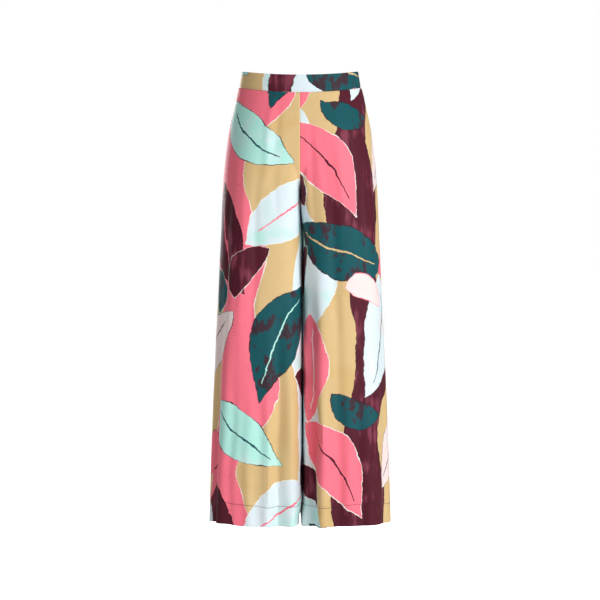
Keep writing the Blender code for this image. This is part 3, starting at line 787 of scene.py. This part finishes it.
def rounded(piece, width, segments):
    """Round every sharp edge of a piece."""
    bevel = piece.modifiers.new("rounded edges", "BEVEL")
    bevel.width = width
    bevel.segments = segments
    bevel.limit_method = "ANGLE"
    bevel.angle_limit = math.radians(ROUNDED_FROM)
    bevel.harden_normals = True


def bottom_stop(line, finish):
    """Crimped stop at the zip's lower end."""
    half = np.array(STOP_SIZE) / 2
    signs = [(x, y, z) for x in (-1, 1) for y in (-1, 1) for z in (-1, 1)]
    height = line[-1, 2] + COIL_END_INSET
    centre = np.array([0.0, np.interp(height, line[::-1, 2], line[::-1, 1]) - COIL_RADIUS, height])
    points = [(centre + half * np.array(sign)).tolist() for sign in signs]
    faces = [(0, 1, 3, 2), (4, 6, 7, 5), (0, 4, 5, 1), (2, 3, 7, 6), (0, 2, 6, 4), (1, 5, 7, 3)]
    piece = add_mesh("zip_bottom_stop", points, faces, [finish])
    rounded(piece, *STOP_ROUNDING)
    settle(piece)


def softened(node, name, body, finish):
    """A copy of a hard node with rounded edges."""
    builder = bmesh.new()
    builder.from_mesh(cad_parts[node].data)
    bmesh.ops.remove_doubles(builder, verts=builder.verts, dist=WELD)
    flat = math.radians(FLAT_ANGLE)
    bmesh.ops.dissolve_limit(builder, angle_limit=flat, verts=builder.verts, edges=builder.edges)
    mesh = bpy.data.meshes.new(name)
    builder.to_mesh(mesh)
    builder.free()
    mesh.materials.clear()
    mesh.materials.append(finish)
    mesh.shade_smooth()
    piece = add_object(name, mesh)
    rounded(piece, *METAL_ROUNDING)
    settle(piece, body, node)


# ---------------------------------------------------------------- node helpers


def linear(code):
    """Scene colour of an sRGB hex code."""
    parts = [int(code[k : k + 2], 16) / 255 for k in (1, 3, 5)]
    return tuple(p / 12.92 if p <= 0.04045 else ((p + 0.055) / 1.055) ** 2.4 for p in parts) + (1.0,)


def labelled(values):
    """Values by the names that a node group's sockets have."""
    return {name.replace("_", " ").capitalize(): value for name, value in values.items()}


class Nodes:
    """Adds nodes to one node tree. An input is a value or another node's output."""

    def __init__(self, tree):
        self.tree = tree

    def put(self, socket, value):
        if isinstance(value, bpy.types.NodeSocket):
            self.tree.links.new(value, socket)
        else:
            socket.default_value = value

    def feed(self, node, inputs):
        for name, value in inputs.items():
            self.put(node.inputs[name], value)

    def add(self, kind, settings=None, inputs=None):
        node = self.tree.nodes.new(kind)
        for name, value in (settings or {}).items():
            setattr(node, name, value)
        self.feed(node, inputs or {})
        return node

    def math(self, operation, *values):
        node = self.add("ShaderNodeMath", {"operation": operation})
        for socket, value in zip(node.inputs, values):
            self.put(socket, value)
        return node.outputs[0]

    def product(self, first, *others):
        for other in others:
            first = self.math("MULTIPLY", first, other)
        return first

    def vector(self, operation, *values):
        node = self.add("ShaderNodeVectorMath", {"operation": operation})
        for socket, value in zip(node.inputs, values):
            self.put(socket, value)
        return node.outputs["Value" if operation == "LENGTH" else "Vector"]

    def mix(self, factor, one, other, blend="MIX"):
        node = self.add("ShaderNodeMix", {"data_type": "RGBA", "blend_type": blend})
        for socket, value in zip((node.inputs[0], node.inputs[6], node.inputs[7]), (factor, one, other)):
            self.put(socket, value)
        return node.outputs[2]

    def ramp(self, value, start, end, low=0.0, high=1.0):
        """Soft step of a value: low at start, high at end."""
        limits = {"From Min": start, "From Max": end, "To Min": low, "To Max": high}
        settings = {"interpolation_type": "SMOOTHSTEP"}
        return self.add("ShaderNodeMapRange", settings, {"Value": value, **limits}).outputs["Result"]

    def noise(self, place, scale, detail=2.0, roughness=0.5, output="Fac"):
        inputs = {"Vector": place, "Scale": scale, "Detail": detail, "Roughness": roughness}
        return self.add("ShaderNodeTexNoise", {}, inputs).outputs[output]

    def clouds(self, place, noise, ramp):
        """Noise through a soft step."""
        return self.ramp(self.noise(place, *noise), *ramp)

    def stray(self, place, scale, detail, roughness, reach):
        """A place moved by noise, by up to half of reach each way."""
        noise = self.noise(place, scale, detail, roughness, "Color")
        shift = self.vector("SUBTRACT", noise, (0.5, 0.5, 0.5))
        return self.vector("SCALE", shift, ZERO, ZERO, reach)

    def stretched(self, place, up):
        """A place whose height counts for less, so that what is drawn there grows tall."""
        return self.vector("MULTIPLY", place, (1.0, up, 1.0))

    def join(self, x, y):
        return self.add("ShaderNodeCombineXYZ", {}, {"X": x, "Y": y}).outputs[0]

    def split(self, place):
        return self.add("ShaderNodeSeparateXYZ", {}, {"Vector": place}).outputs

    def group(self, tree, **inputs):
        return self.add("ShaderNodeGroup", {"node_tree": tree}, labelled(inputs)).outputs


ZERO = (0.0, 0.0, 0.0)
WHITE = (1.0, 1.0, 1.0, 1.0)
BLACK = (0.0, 0.0, 0.0, 1.0)
SOCKETS = {1: "NodeSocketFloat", 3: "NodeSocketVector", 4: "NodeSocketColor"}  # by count of numbers


def effect(name, inputs, outputs, build):
    """Shader node group, with a value for each input and for each output, which give their kinds.

    build gets the nodes and the inputs, and returns the outputs.
    """
    tree = bpy.data.node_groups.new(name, "ShaderNodeTree")
    for way, sockets in (("INPUT", inputs), ("OUTPUT", outputs)):
        for label, value in sockets.items():
            kind = SOCKETS[np.size(value)]
            tree.interface.new_socket(name=label, in_out=way, socket_type=kind).default_value = value
    nodes = Nodes(tree)
    start = tree.nodes.new("NodeGroupInput")
    end = tree.nodes.new("NodeGroupOutput")
    made = build(nodes, {label: start.outputs[label] for label in inputs})
    nodes.feed(end, dict(zip(outputs, made)))
    return tree


# ---------------------------------------------------------------- the print

REPEAT = (0.62, 0.70)  # width and height of the print's repeat
PAINT_EDGE = (0.0005, -0.0005)  # from outside to inside

CORAL = linear("#FA798C")
SAND = linear("#D8BA86")
PLUM = linear("#531D2B")
TEAL = linear("#18545B")
ICE = linear("#DBE8ED")
MINT = linear("#B2EADE")
BLUSH = linear("#EEDCD9")
DEEP_SAND = linear("#D3B177")
PALE_LINE = linear("#F3F1E9")
DARK_LINE = linear("#3A1C28")

Dye = namedtuple("Dye", "paint second stroke")  # the strokes show the second colour
IN_CORAL = Dye(CORAL, linear("#A93F58"), "speckle")
IN_PLUM = Dye(PLUM, linear("#8C4356"), "streak")
IN_TEAL = Dye(TEAL, linear("#43242E"), "scrub")
IN_ICE = Dye(ICE, MINT, "wash")
IN_WARM_ICE = Dye(ICE, BLUSH, "wash")
IN_MINT = Dye(MINT, ICE, "wash")
IN_BLUSH = Dye(BLUSH, ICE, "wash")

# Motifs, one row each: shape first, then dye and outline. turn is in degrees.
Ribbon = namedtuple("Ribbon", "across half_width swing phase dye line line_width")
LEAF_FIELDS = "across up turn half_length half_width bend taper dye line vein line_width"
LEAF_LINE = 0.0018
Leaf = namedtuple("Leaf", LEAF_FIELDS, defaults=(LEAF_LINE,))
MOON_LINE = 0.0016
Moon = namedtuple("Moon", "across up turn radius bow dye line line_width", defaults=(MOON_LINE,))
FINISH_FIELDS = ("dye", "line", "vein", "line_width")

RIBBONS = [
    Ribbon(0.060, 0.066, 0.030, 0.4, IN_CORAL, PALE_LINE, 0.0018),
    Ribbon(0.285, 0.064, 0.030, 2.6, IN_ICE, PALE_LINE, 0.0010),
    Ribbon(0.475, 0.060, 0.034, 4.4, IN_PLUM, DARK_LINE, 0.0016),
]
LEAVES = [
    Leaf(0.165, 0.175, 24, 0.150, 0.062, 0.030, 0.25, IN_TEAL, DARK_LINE, MINT),
    Leaf(0.385, 0.110, -38, 0.140, 0.062, -0.024, 0.30, IN_CORAL, PALE_LINE, PLUM),
    Leaf(0.205, 0.480, 62, 0.145, 0.062, 0.020, -0.20, IN_ICE, PALE_LINE, CORAL),
    Leaf(0.020, 0.405, -18, 0.140, 0.056, 0.026, 0.20, IN_PLUM, DARK_LINE, CORAL),
    Leaf(0.530, 0.400, 14, 0.150, 0.064, -0.030, 0.30, IN_WARM_ICE, PLUM, TEAL),
    Leaf(0.410, 0.600, -68, 0.140, 0.060, 0.018, -0.25, IN_TEAL, DARK_LINE, SAND),
    Leaf(0.585, 0.150, 40, 0.125, 0.054, 0.016, 0.25, IN_BLUSH, DARK_LINE, PLUM),
    Leaf(0.325, 0.330, 8, 0.130, 0.052, -0.020, 0.20, IN_CORAL, PALE_LINE, BLUSH),
    Leaf(0.090, 0.640, -50, 0.120, 0.052, 0.022, 0.25, IN_MINT, DARK_LINE, TEAL),
]
MOONS = [
    Moon(0.265, 0.040, 35, 0.070, 2.2, IN_PLUM, PALE_LINE),
    Moon(0.110, 0.320, -55, 0.070, 1.8, IN_PLUM, PALE_LINE),
    Moon(0.560, 0.615, 125, 0.068, 2.4, IN_CORAL, DARK_LINE),
    Moon(0.450, 0.255, 200, 0.066, 2.0, IN_TEAL, DARK_LINE),
    Moon(0.315, 0.560, 285, 0.060, 2.6, IN_PLUM, MINT),
    Moon(0.600, 0.285, 80, 0.052, 2.0, IN_TEAL, MINT),
    Moon(0.470, 0.490, 20, 0.056, 2.0, IN_BLUSH, CORAL),
]
VEIN_HALF_WIDTH = 0.0022
VEIN_REACH = 0.72  # the vein runs over this share of the leaf's length
VEIN_TIP = 0.05
LEAST_TAPER = 0.1
RIBBON_RIPPLE = 1.7  # a second wave, twice as frequent, at this share of the phase
RIPPLE_SWING = 0.38
RIPPLE_WIDTH = 0.28

# Noise of the hand and the brush: scale, detail, roughness, and how far it reaches
HAND_SWEEP = (11.0, 5.0, 0.52, 0.030)
HAND_TREMOR = (85.0, 3.0, 0.6, 0.0065)
# Clouds: their noise, and the soft step through it
LINE_UNEVEN = ((24.0, 2.0), (0.3, 0.7, 0.3, 1.5))
WASH = ((9.0, 3.0, 0.6), (0.50, 0.72, 0.0, 0.8))
SPECKS = ((340.0, 2.0, 0.5), (0.60, 0.66))
SPECK_CLUSTERS = ((15.0, 1.0, 0.5), (0.56, 0.68))
SPECK_STRENGTH = 0.75
# Dry brush marks: stretch, their noise, the noise of their patches, and the ramp over both
SCRUB = (0.6, (62.0, 5.0, 0.62), (17.0, 2.0, 0.5), (1.04, 1.14, 0.0, 0.85))
STREAK = (0.14, (70.0, 4.0, 0.6), (13.0, 1.0, 0.5), (1.02, 1.26, 0.0, 0.75))


def in_motif(nodes, given):
    """A place on the cloth, seen from the nearest repeat of a motif."""
    moved = nodes.vector("SUBTRACT", given["Cloth"], nodes.join(given["Across"], given["Up"]))
    half = (REPEAT[0] / 2, REPEAT[1] / 2, 1.0)
    wrapped = nodes.vector("WRAP", moved, half, tuple(-side for side in half))
    inputs = {"Vector": wrapped, "Angle": nodes.math("RADIANS", given["Turn"])}
    turned = nodes.add("ShaderNodeVectorRotate", {"rotation_type": "Z_AXIS"}, inputs)
    return nodes.split(turned.outputs[0])[:2]


def build_leaf(nodes, given):
    """Distance to a leaf's edge, and to the vein along its middle."""
    x, y = in_motif(nodes, given)
    up = nodes.math("DIVIDE", y, given["Half length"])
    square = nodes.product(up, up)
    off = nodes.math("ABSOLUTE", nodes.math("SUBTRACT", x, nodes.product(square, given["Bend"])))
    narrow = nodes.math("SUBTRACT", 1.0, square)
    taper = nodes.math("MAXIMUM", nodes.math("MULTIPLY_ADD", given["Taper"], up, 1.0), LEAST_TAPER)
    edge = nodes.math("SUBTRACT", off, nodes.product(narrow, taper, given["Half width"]))
    vein = nodes.math("SUBTRACT", off, nodes.product(narrow, VEIN_HALF_WIDTH))
    past_tip = nodes.math("SUBTRACT", nodes.math("ABSOLUTE", up), VEIN_REACH)
    return edge, nodes.math("MAXIMUM", vein, nodes.product(past_tip, VEIN_TIP))


def build_moon(nodes, given):
    """Distance to the edge of a half moon whose straight side bows a little."""
    x, y = in_motif(nodes, given)
    round_edge = nodes.math("SUBTRACT", nodes.vector("LENGTH", nodes.join(x, y)), given["Radius"])
    straight = nodes.math("SUBTRACT", nodes.product(x, x, given["Bow"]), y)
    return (nodes.math("MAXIMUM", round_edge, straight),)


def build_ribbon(nodes, given):
    """Distance to the edge of a ribbon that winds up the cloth."""
    x, y, _ = nodes.split(given["Cloth"])
    turn = nodes.product(y, 2.0 * math.pi / REPEAT[1])
    first = nodes.math("SINE", nodes.math("ADD", turn, given["Phase"]))
    ripple_phase = nodes.product(given["Phase"], RIBBON_RIPPLE)
    ripple = nodes.math("SINE", nodes.math("MULTIPLY_ADD", turn, 2.0, ripple_phase))
    swing = nodes.math("MULTIPLY_ADD", ripple, RIPPLE_SWING, first)
    middle = nodes.math("MULTIPLY_ADD", swing, given["Swing"], given["Across"])
    off = nodes.math("WRAP", nodes.math("SUBTRACT", x, middle), REPEAT[0] / 2, -REPEAT[0] / 2)
    width = nodes.product(nodes.math("MULTIPLY_ADD", ripple, RIPPLE_WIDTH, 1.0), given["Half width"])
    return (nodes.math("SUBTRACT", nodes.math("ABSOLUTE", off), width),)


def build_paint(nodes, given):
    """One layer of dye with its outline, over the layers below."""
    paint = nodes.mix(given["Stroke"], given["Paint"], given["Second"])
    in_line = nodes.ramp(nodes.math("SUBTRACT", given["Distance"], given["Line width"]), *PAINT_EDGE)
    outlined = nodes.mix(in_line, given["Under"], given["Line"])
    return (nodes.mix(nodes.ramp(given["Distance"], *PAINT_EDGE), outlined, paint),)


def brush_marks(nodes, cloth, stretch, marks, patches, ramp):
    """Broken marks of a dry brush, in patches."""
    marked = nodes.noise(nodes.stretched(cloth, stretch), *marks)
    return nodes.ramp(nodes.math("ADD", marked, nodes.noise(cloth, *patches)), *ramp)


def speckle(nodes, cloth):
    """Clusters of fine dark specks."""
    specks = nodes.clouds(cloth, *SPECKS)
    return nodes.product(specks, nodes.clouds(cloth, *SPECK_CLUSTERS), SPECK_STRENGTH)


def shape_of(motif):
    """The fields of a motif's row that shape it."""
    return {name: value for name, value in motif._asdict().items() if name not in FINISH_FIELDS}


def build_print(nodes, given):
    """The printed design: ribbons, leaves and half moons in repeat, with hand-painted edges."""
    cloth = given["Cloth"]
    swept = nodes.vector("ADD", cloth, nodes.stray(cloth, *HAND_SWEEP))
    hand = nodes.vector("ADD", swept, nodes.stray(cloth, *HAND_TREMOR))
    strokes = {
        "wash": nodes.clouds(cloth, *WASH),
        "speckle": speckle(nodes, cloth),
        "scrub": brush_marks(nodes, cloth, *SCRUB),
        "streak": brush_marks(nodes, cloth, *STREAK),
    }
    colours = {"Under": WHITE, "Paint": WHITE, "Second": WHITE, "Line": WHITE}
    values = {"Stroke": 0.0, "Distance": 0.0, "Line width": 0.001}
    layer = effect("dye layer", {**colours, **values}, {"Colour": WHITE}, build_paint)
    uneven = nodes.clouds(cloth, *LINE_UNEVEN)
    colour = nodes.mix(strokes["wash"], SAND, DEEP_SAND)
    for name, motifs, outputs, build in (
        ("ribbon motif", RIBBONS, {"Edge": 0.0}, build_ribbon),
        ("leaf motif", LEAVES, {"Edge": 0.0, "Vein": 0.0}, build_leaf),
        ("half moon motif", MOONS, {"Edge": 0.0}, build_moon),
    ):
        tree = effect(name, {"Cloth": ZERO, **labelled(shape_of(motifs[0]))}, outputs, build)
        for motif in motifs:
            made = nodes.group(tree, cloth=hand, **shape_of(motif))
            dye = motif.dye._replace(stroke=strokes[motif.dye.stroke])._asdict()
            outline = {"line": motif.line, "line_width": nodes.product(uneven, motif.line_width)}
            colour = nodes.group(layer, under=colour, distance=made["Edge"], **dye, **outline)["Colour"]
            if "Vein" in outputs:
                colour = nodes.mix(nodes.ramp(made["Vein"], *PAINT_EDGE), colour, motif.vein)
    return (colour,)


# ---------------------------------------------------------------- materials

YARN = 0.00034  # spacing of the crepe's yarns
TAPE_YARN = 0.0006
YARN_STRAY = (900.0, 2.0, 0.5, 0.00016)  # scale, detail, roughness and reach of the yarns' wander
SLUB = (1300.0, 3.0, 0.6)
SLUB_STRETCH = 0.10
CROSSING_HEIGHT = 0.3  # of the yarns' crossings, against the slubs
SLUB_TONE = 0.10
OVERLOCK_PITCH = 0.0022
OVERLOCK_LINE = 0.0080  # the overlocked edge lies this far from the seam
OVERLOCK_EDGE = (0.0016, 0.0012)
OVERLOCK_LOOPS = (-0.2, 0.5)
FACE_RELIEF = 0.00003  # depth of the weave on each side of the crepe
REVERSE_RELIEF = 0.00004
TAPE_RELIEF = 0.00008
REVERSE_PALE = 0.42
LUSTRE = ((30.0, 3.0, 0.6), (0.3, 0.7, 0.52, 0.64))  # noise, and the roughness through it
LUSTRE_STRETCH = 0.2
THREAD_GRAIN = 2600.0  # scales of the noise between two tones
TAPE_GRAIN = 90.0
COIL_GRAIN = 300.0
LACQUER_CLOUDS = (500.0, 3.0)
LACQUER_ROUGHNESS = (0.3, 0.7, 0.24, 0.36)
RUBBED = ((1400.0, 4.0, 0.7), (0.62, 0.72, 0.0, 0.5))


def build_weave(nodes, given):
    """Relief and tone of a plain weave of uneven yarns."""
    x, y, _ = nodes.split(nodes.vector("ADD", given["Cloth"], nodes.stray(given["Cloth"], *YARN_STRAY)))
    turn = nodes.math("DIVIDE", 2.0 * math.pi, given["Yarn"])
    warp = nodes.math("SINE", nodes.product(x, turn))
    weft = nodes.math("SINE", nodes.product(y, turn))
    slub = nodes.noise(nodes.stretched(given["Cloth"], SLUB_STRETCH), *SLUB)
    height = nodes.math("MULTIPLY_ADD", nodes.product(warp, weft), CROSSING_HEIGHT, slub)
    return height, nodes.math("MULTIPLY_ADD", nodes.math("SUBTRACT", slub, 0.5), SLUB_TONE, 1.0)


def shared_effects():
    """Effects that several materials use: the print's colour, and the weave's relief and tone."""
    weave_inputs = {"Cloth": ZERO, "Yarn": YARN}
    return {
        "print": effect("printed design", {"Cloth": ZERO}, {"Colour": WHITE}, build_print),
        "weave": effect("plain weave", weave_inputs, {"Height": 0.0, "Tone": 0.0}, build_weave),
    }


def new_finish(name):
    """A material, its nodes and its Principled shader."""
    made = bpy.data.materials.new(name)
    made.use_nodes = True
    return made, Nodes(made.node_tree), made.node_tree.nodes["Principled BSDF"]


def woven_bump(nodes, weave, depth):
    """Normal of a weave's relief."""
    inputs = {"Height": weave["Height"], "Distance": depth, "Strength": 1.0}
    return nodes.add("ShaderNodeBump", {}, inputs).outputs[0]


def on_piece(nodes):
    """Place on a piece, in metres."""
    return nodes.add("ShaderNodeTexCoord").outputs["Object"]


def two_tones(nodes, place, scale, one, other, detail=2.0):
    """A colour that drifts between two tones."""
    return nodes.mix(nodes.noise(place, scale, detail), linear(one), linear(other))


def printed_crepe(nodes, effects):
    """Place on the flat cloth in metres, the weave there, and the printed colour."""
    cloth = nodes.add("ShaderNodeUVMap", {"uv_map": "Cloth"}).outputs[0]
    weave = nodes.group(effects["weave"], cloth=cloth)
    return cloth, weave, nodes.group(effects["print"], cloth=cloth)["Colour"]


def crepe_face(effects):
    """Right side of the printed crepe: a soft satin lustre over a fine weave."""
    made, nodes, shader = new_finish("printed crepe")
    cloth, weave, design = printed_crepe(nodes, effects)
    nodes.feed(shader, {
        "Base Color": nodes.mix(1.0, design, weave["Tone"], "MULTIPLY"),
        "Roughness": nodes.clouds(nodes.stretched(cloth, LUSTRE_STRETCH), *LUSTRE),
        "Specular IOR Level": 0.10,
        "Sheen Weight": 0.01,
        "Sheen Roughness": 0.45,
        "Normal": woven_bump(nodes, weave, FACE_RELIEF),
    })
    return made


def crepe_reverse(effects):
    """Wrong side: the print shows through paler, with overlocked seam allowances."""
    made, nodes, shader = new_finish("crepe reverse")
    cloth, weave, design = printed_crepe(nodes, effects)
    pale = nodes.mix(REVERSE_PALE, design, linear("#EFE9E4"))
    seam = nodes.add("ShaderNodeAttribute", {"attribute_name": "seam"}).outputs["Fac"]
    loops = nodes.math("SINE", nodes.product(nodes.split(cloth)[1], 2.0 * math.pi / OVERLOCK_PITCH))
    off_edge = nodes.math("ABSOLUTE", nodes.math("SUBTRACT", seam, OVERLOCK_LINE))
    overlock = nodes.product(nodes.ramp(off_edge, *OVERLOCK_EDGE), nodes.ramp(loops, *OVERLOCK_LOOPS))
    nodes.feed(shader, {
        "Base Color": nodes.mix(overlock, pale, linear("#D9C2B4")),
        "Roughness": 0.72,
        "Specular IOR Level": 0.3,
        "Sheen Weight": 0.08,
        "Normal": woven_bump(nodes, weave, REVERSE_RELIEF),
    })
    return made


def thread_and_line_shade_finish():
    """Sewing thread, a little glossy. Its near-black tone is partly painted shade: darker than a tonal
    thread, it also stands for the shade along the stitched line.
    """
    made, nodes, shader = new_finish("hem thread and painted line shade")
    # near-black tones: the thread's own plum, darkened with the painted shade of the stitched line
    colour = two_tones(nodes, on_piece(nodes), THREAD_GRAIN, "#26141A", "#45262C")
    nodes.feed(shader, {"Base Color": colour, "Roughness": 0.5})
    return made


def tape_finish(effects):
    """Woven zip tape."""
    made, nodes, shader = new_finish("zip tape weave")
    place = on_piece(nodes)
    x, _, z = nodes.split(place)
    weave = nodes.group(effects["weave"], cloth=nodes.join(x, z), yarn=TAPE_YARN)
    nodes.feed(shader, {
        "Base Color": two_tones(nodes, place, TAPE_GRAIN, "#E9DFD6", "#DCCFC4"),
        "Roughness": 0.75,
        "Normal": woven_bump(nodes, weave, TAPE_RELIEF),
    })
    return made


def coil_finish():
    """Nylon coil."""
    made, nodes, shader = new_finish("zip coil nylon")
    colour = two_tones(nodes, on_piece(nodes), COIL_GRAIN, "#E6DAD0", "#D3C4B8")
    nodes.feed(shader, {"Base Color": colour, "Roughness": 0.38})
    return made


def lacquer_finish():
    """Plum lacquer on the zip's metal, rubbed thin in places."""
    made, nodes, shader = new_finish("zip lacquer")
    place = on_piece(nodes)
    cloudy = nodes.noise(place, *LACQUER_CLOUDS)
    rubbed = nodes.clouds(place, *RUBBED)
    lacquer = nodes.mix(cloudy, linear("#5B2431"), linear("#6E3040"))
    nodes.feed(shader, {
        "Base Color": nodes.mix(rubbed, lacquer, linear("#A9868A")),
        "Roughness": nodes.ramp(cloudy, *LACQUER_ROUGHNESS),
        "Metallic": 0.6,
        "Coat Weight": 0.5,
    })
    return made


# ---------------------------------------------------------------- studio

CAMERA_DISTANCE = 4.5
CAMERA_HEIGHT = -0.5204
LENS = 114.0
FLOOR_LEVEL = HEM - 0.200
FLOOR_SIZE = 60.0
FLOOR_GRAIN = 3.0
FLOOR_GLOW = 0.90  # lifts the pale floor to the white of the background

Light = namedtuple("Light", "name place size power")
LIGHTS = [
    Light("key", (2.8, -2.8, 0.5), 1.0, 82.0),
    Light("fill", (1.9, -4.2, 0.3), 2.4, 64.0),
    Light("back_key", (-2.0, 4.0, 0.7), 1.2, 108.0),
    Light("side_fill", (-3.6, 2.6, 0.2), 2.0, 15.0),
    Light("top", (0.3, 0.2, 3.0), 2.5, 26.0),
]
AIM = Vector((0.0, 0.0, -0.52))


def shoot_from_front():
    """The camera, level with the middle of the legs."""
    data = bpy.data.cameras.new("camera")
    data.lens = LENS
    camera = add_object("camera", data)
    camera.location = (0.0, -CAMERA_DISTANCE, CAMERA_HEIGHT)
    camera.rotation_euler = (math.pi / 2, 0.0, 0.0)
    bpy.context.scene.camera = camera
    bpy.context.scene.view_settings.view_transform = "Standard"


def seen_by_camera(nodes, unseen):
    """White to the camera, and another colour to the light that falls on the cloth."""
    return nodes.mix(nodes.add("ShaderNodeLightPath").outputs["Is Camera Ray"], unseen, WHITE)


def studio():
    """Pale floor, soft lights and a white backdrop."""
    half = FLOOR_SIZE / 2
    corners = [(-half, -half), (half, -half), (half, half), (-half, half)]
    points = [(x, y, FLOOR_LEVEL) for x, y in corners]
    made, nodes, shader = new_finish("studio floor")
    nodes.feed(shader, {
        "Base Color": two_tones(nodes, on_piece(nodes), FLOOR_GRAIN, "#F8F8F8", "#FBFBFB", 3.0),
        "Roughness": 0.9,
        "Specular IOR Level": 0.0,
        "Emission Color": seen_by_camera(nodes, BLACK),
        "Emission Strength": FLOOR_GLOW,
    })
    add_mesh("floor", points, [(0, 1, 2, 3)], [made])

    world = bpy.data.worlds.new("studio")
    world.use_nodes = True
    nodes = Nodes(world.node_tree)
    background = world.node_tree.nodes["Background"]
    nodes.feed(background, {"Color": seen_by_camera(nodes, linear("#868484"))})
    bpy.context.scene.world = world

    for light in LIGHTS:
        data = bpy.data.lights.new(light.name, "AREA")
        data.shape = "DISK"
        data.size = light.size
        data.energy = light.power
        lamp = add_object(light.name, data)
        lamp.location = light.place
        lamp.rotation_euler = (AIM - Vector(light.place)).to_track_quat("-Z", "Y").to_euler()


def main():
    """Make every piece."""
    shoot_from_front()
    effects = shared_effects()
    face = crepe_face(effects)
    reverse = crepe_reverse(effects)
    thread = thread_and_line_shade_finish()
    lacquer = lacquer_finish()
    for leg, side in SIDES:
        hem_stitching(side, leg_panels(leg, side, [face, reverse]), thread)
    waistband([face, face])
    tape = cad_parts["zip_tape"]
    tape.data.materials.clear()
    tape.data.materials.append(tape_finish(effects))
    bottom_stop(zip_coils(coil_finish()), lacquer)
    softened("zip_slider", "zip_slider_body", BODY, lacquer)
    softened("zip_pull", "zip_pull_tab", "zip_pull", lacquer)
    studio()


main()
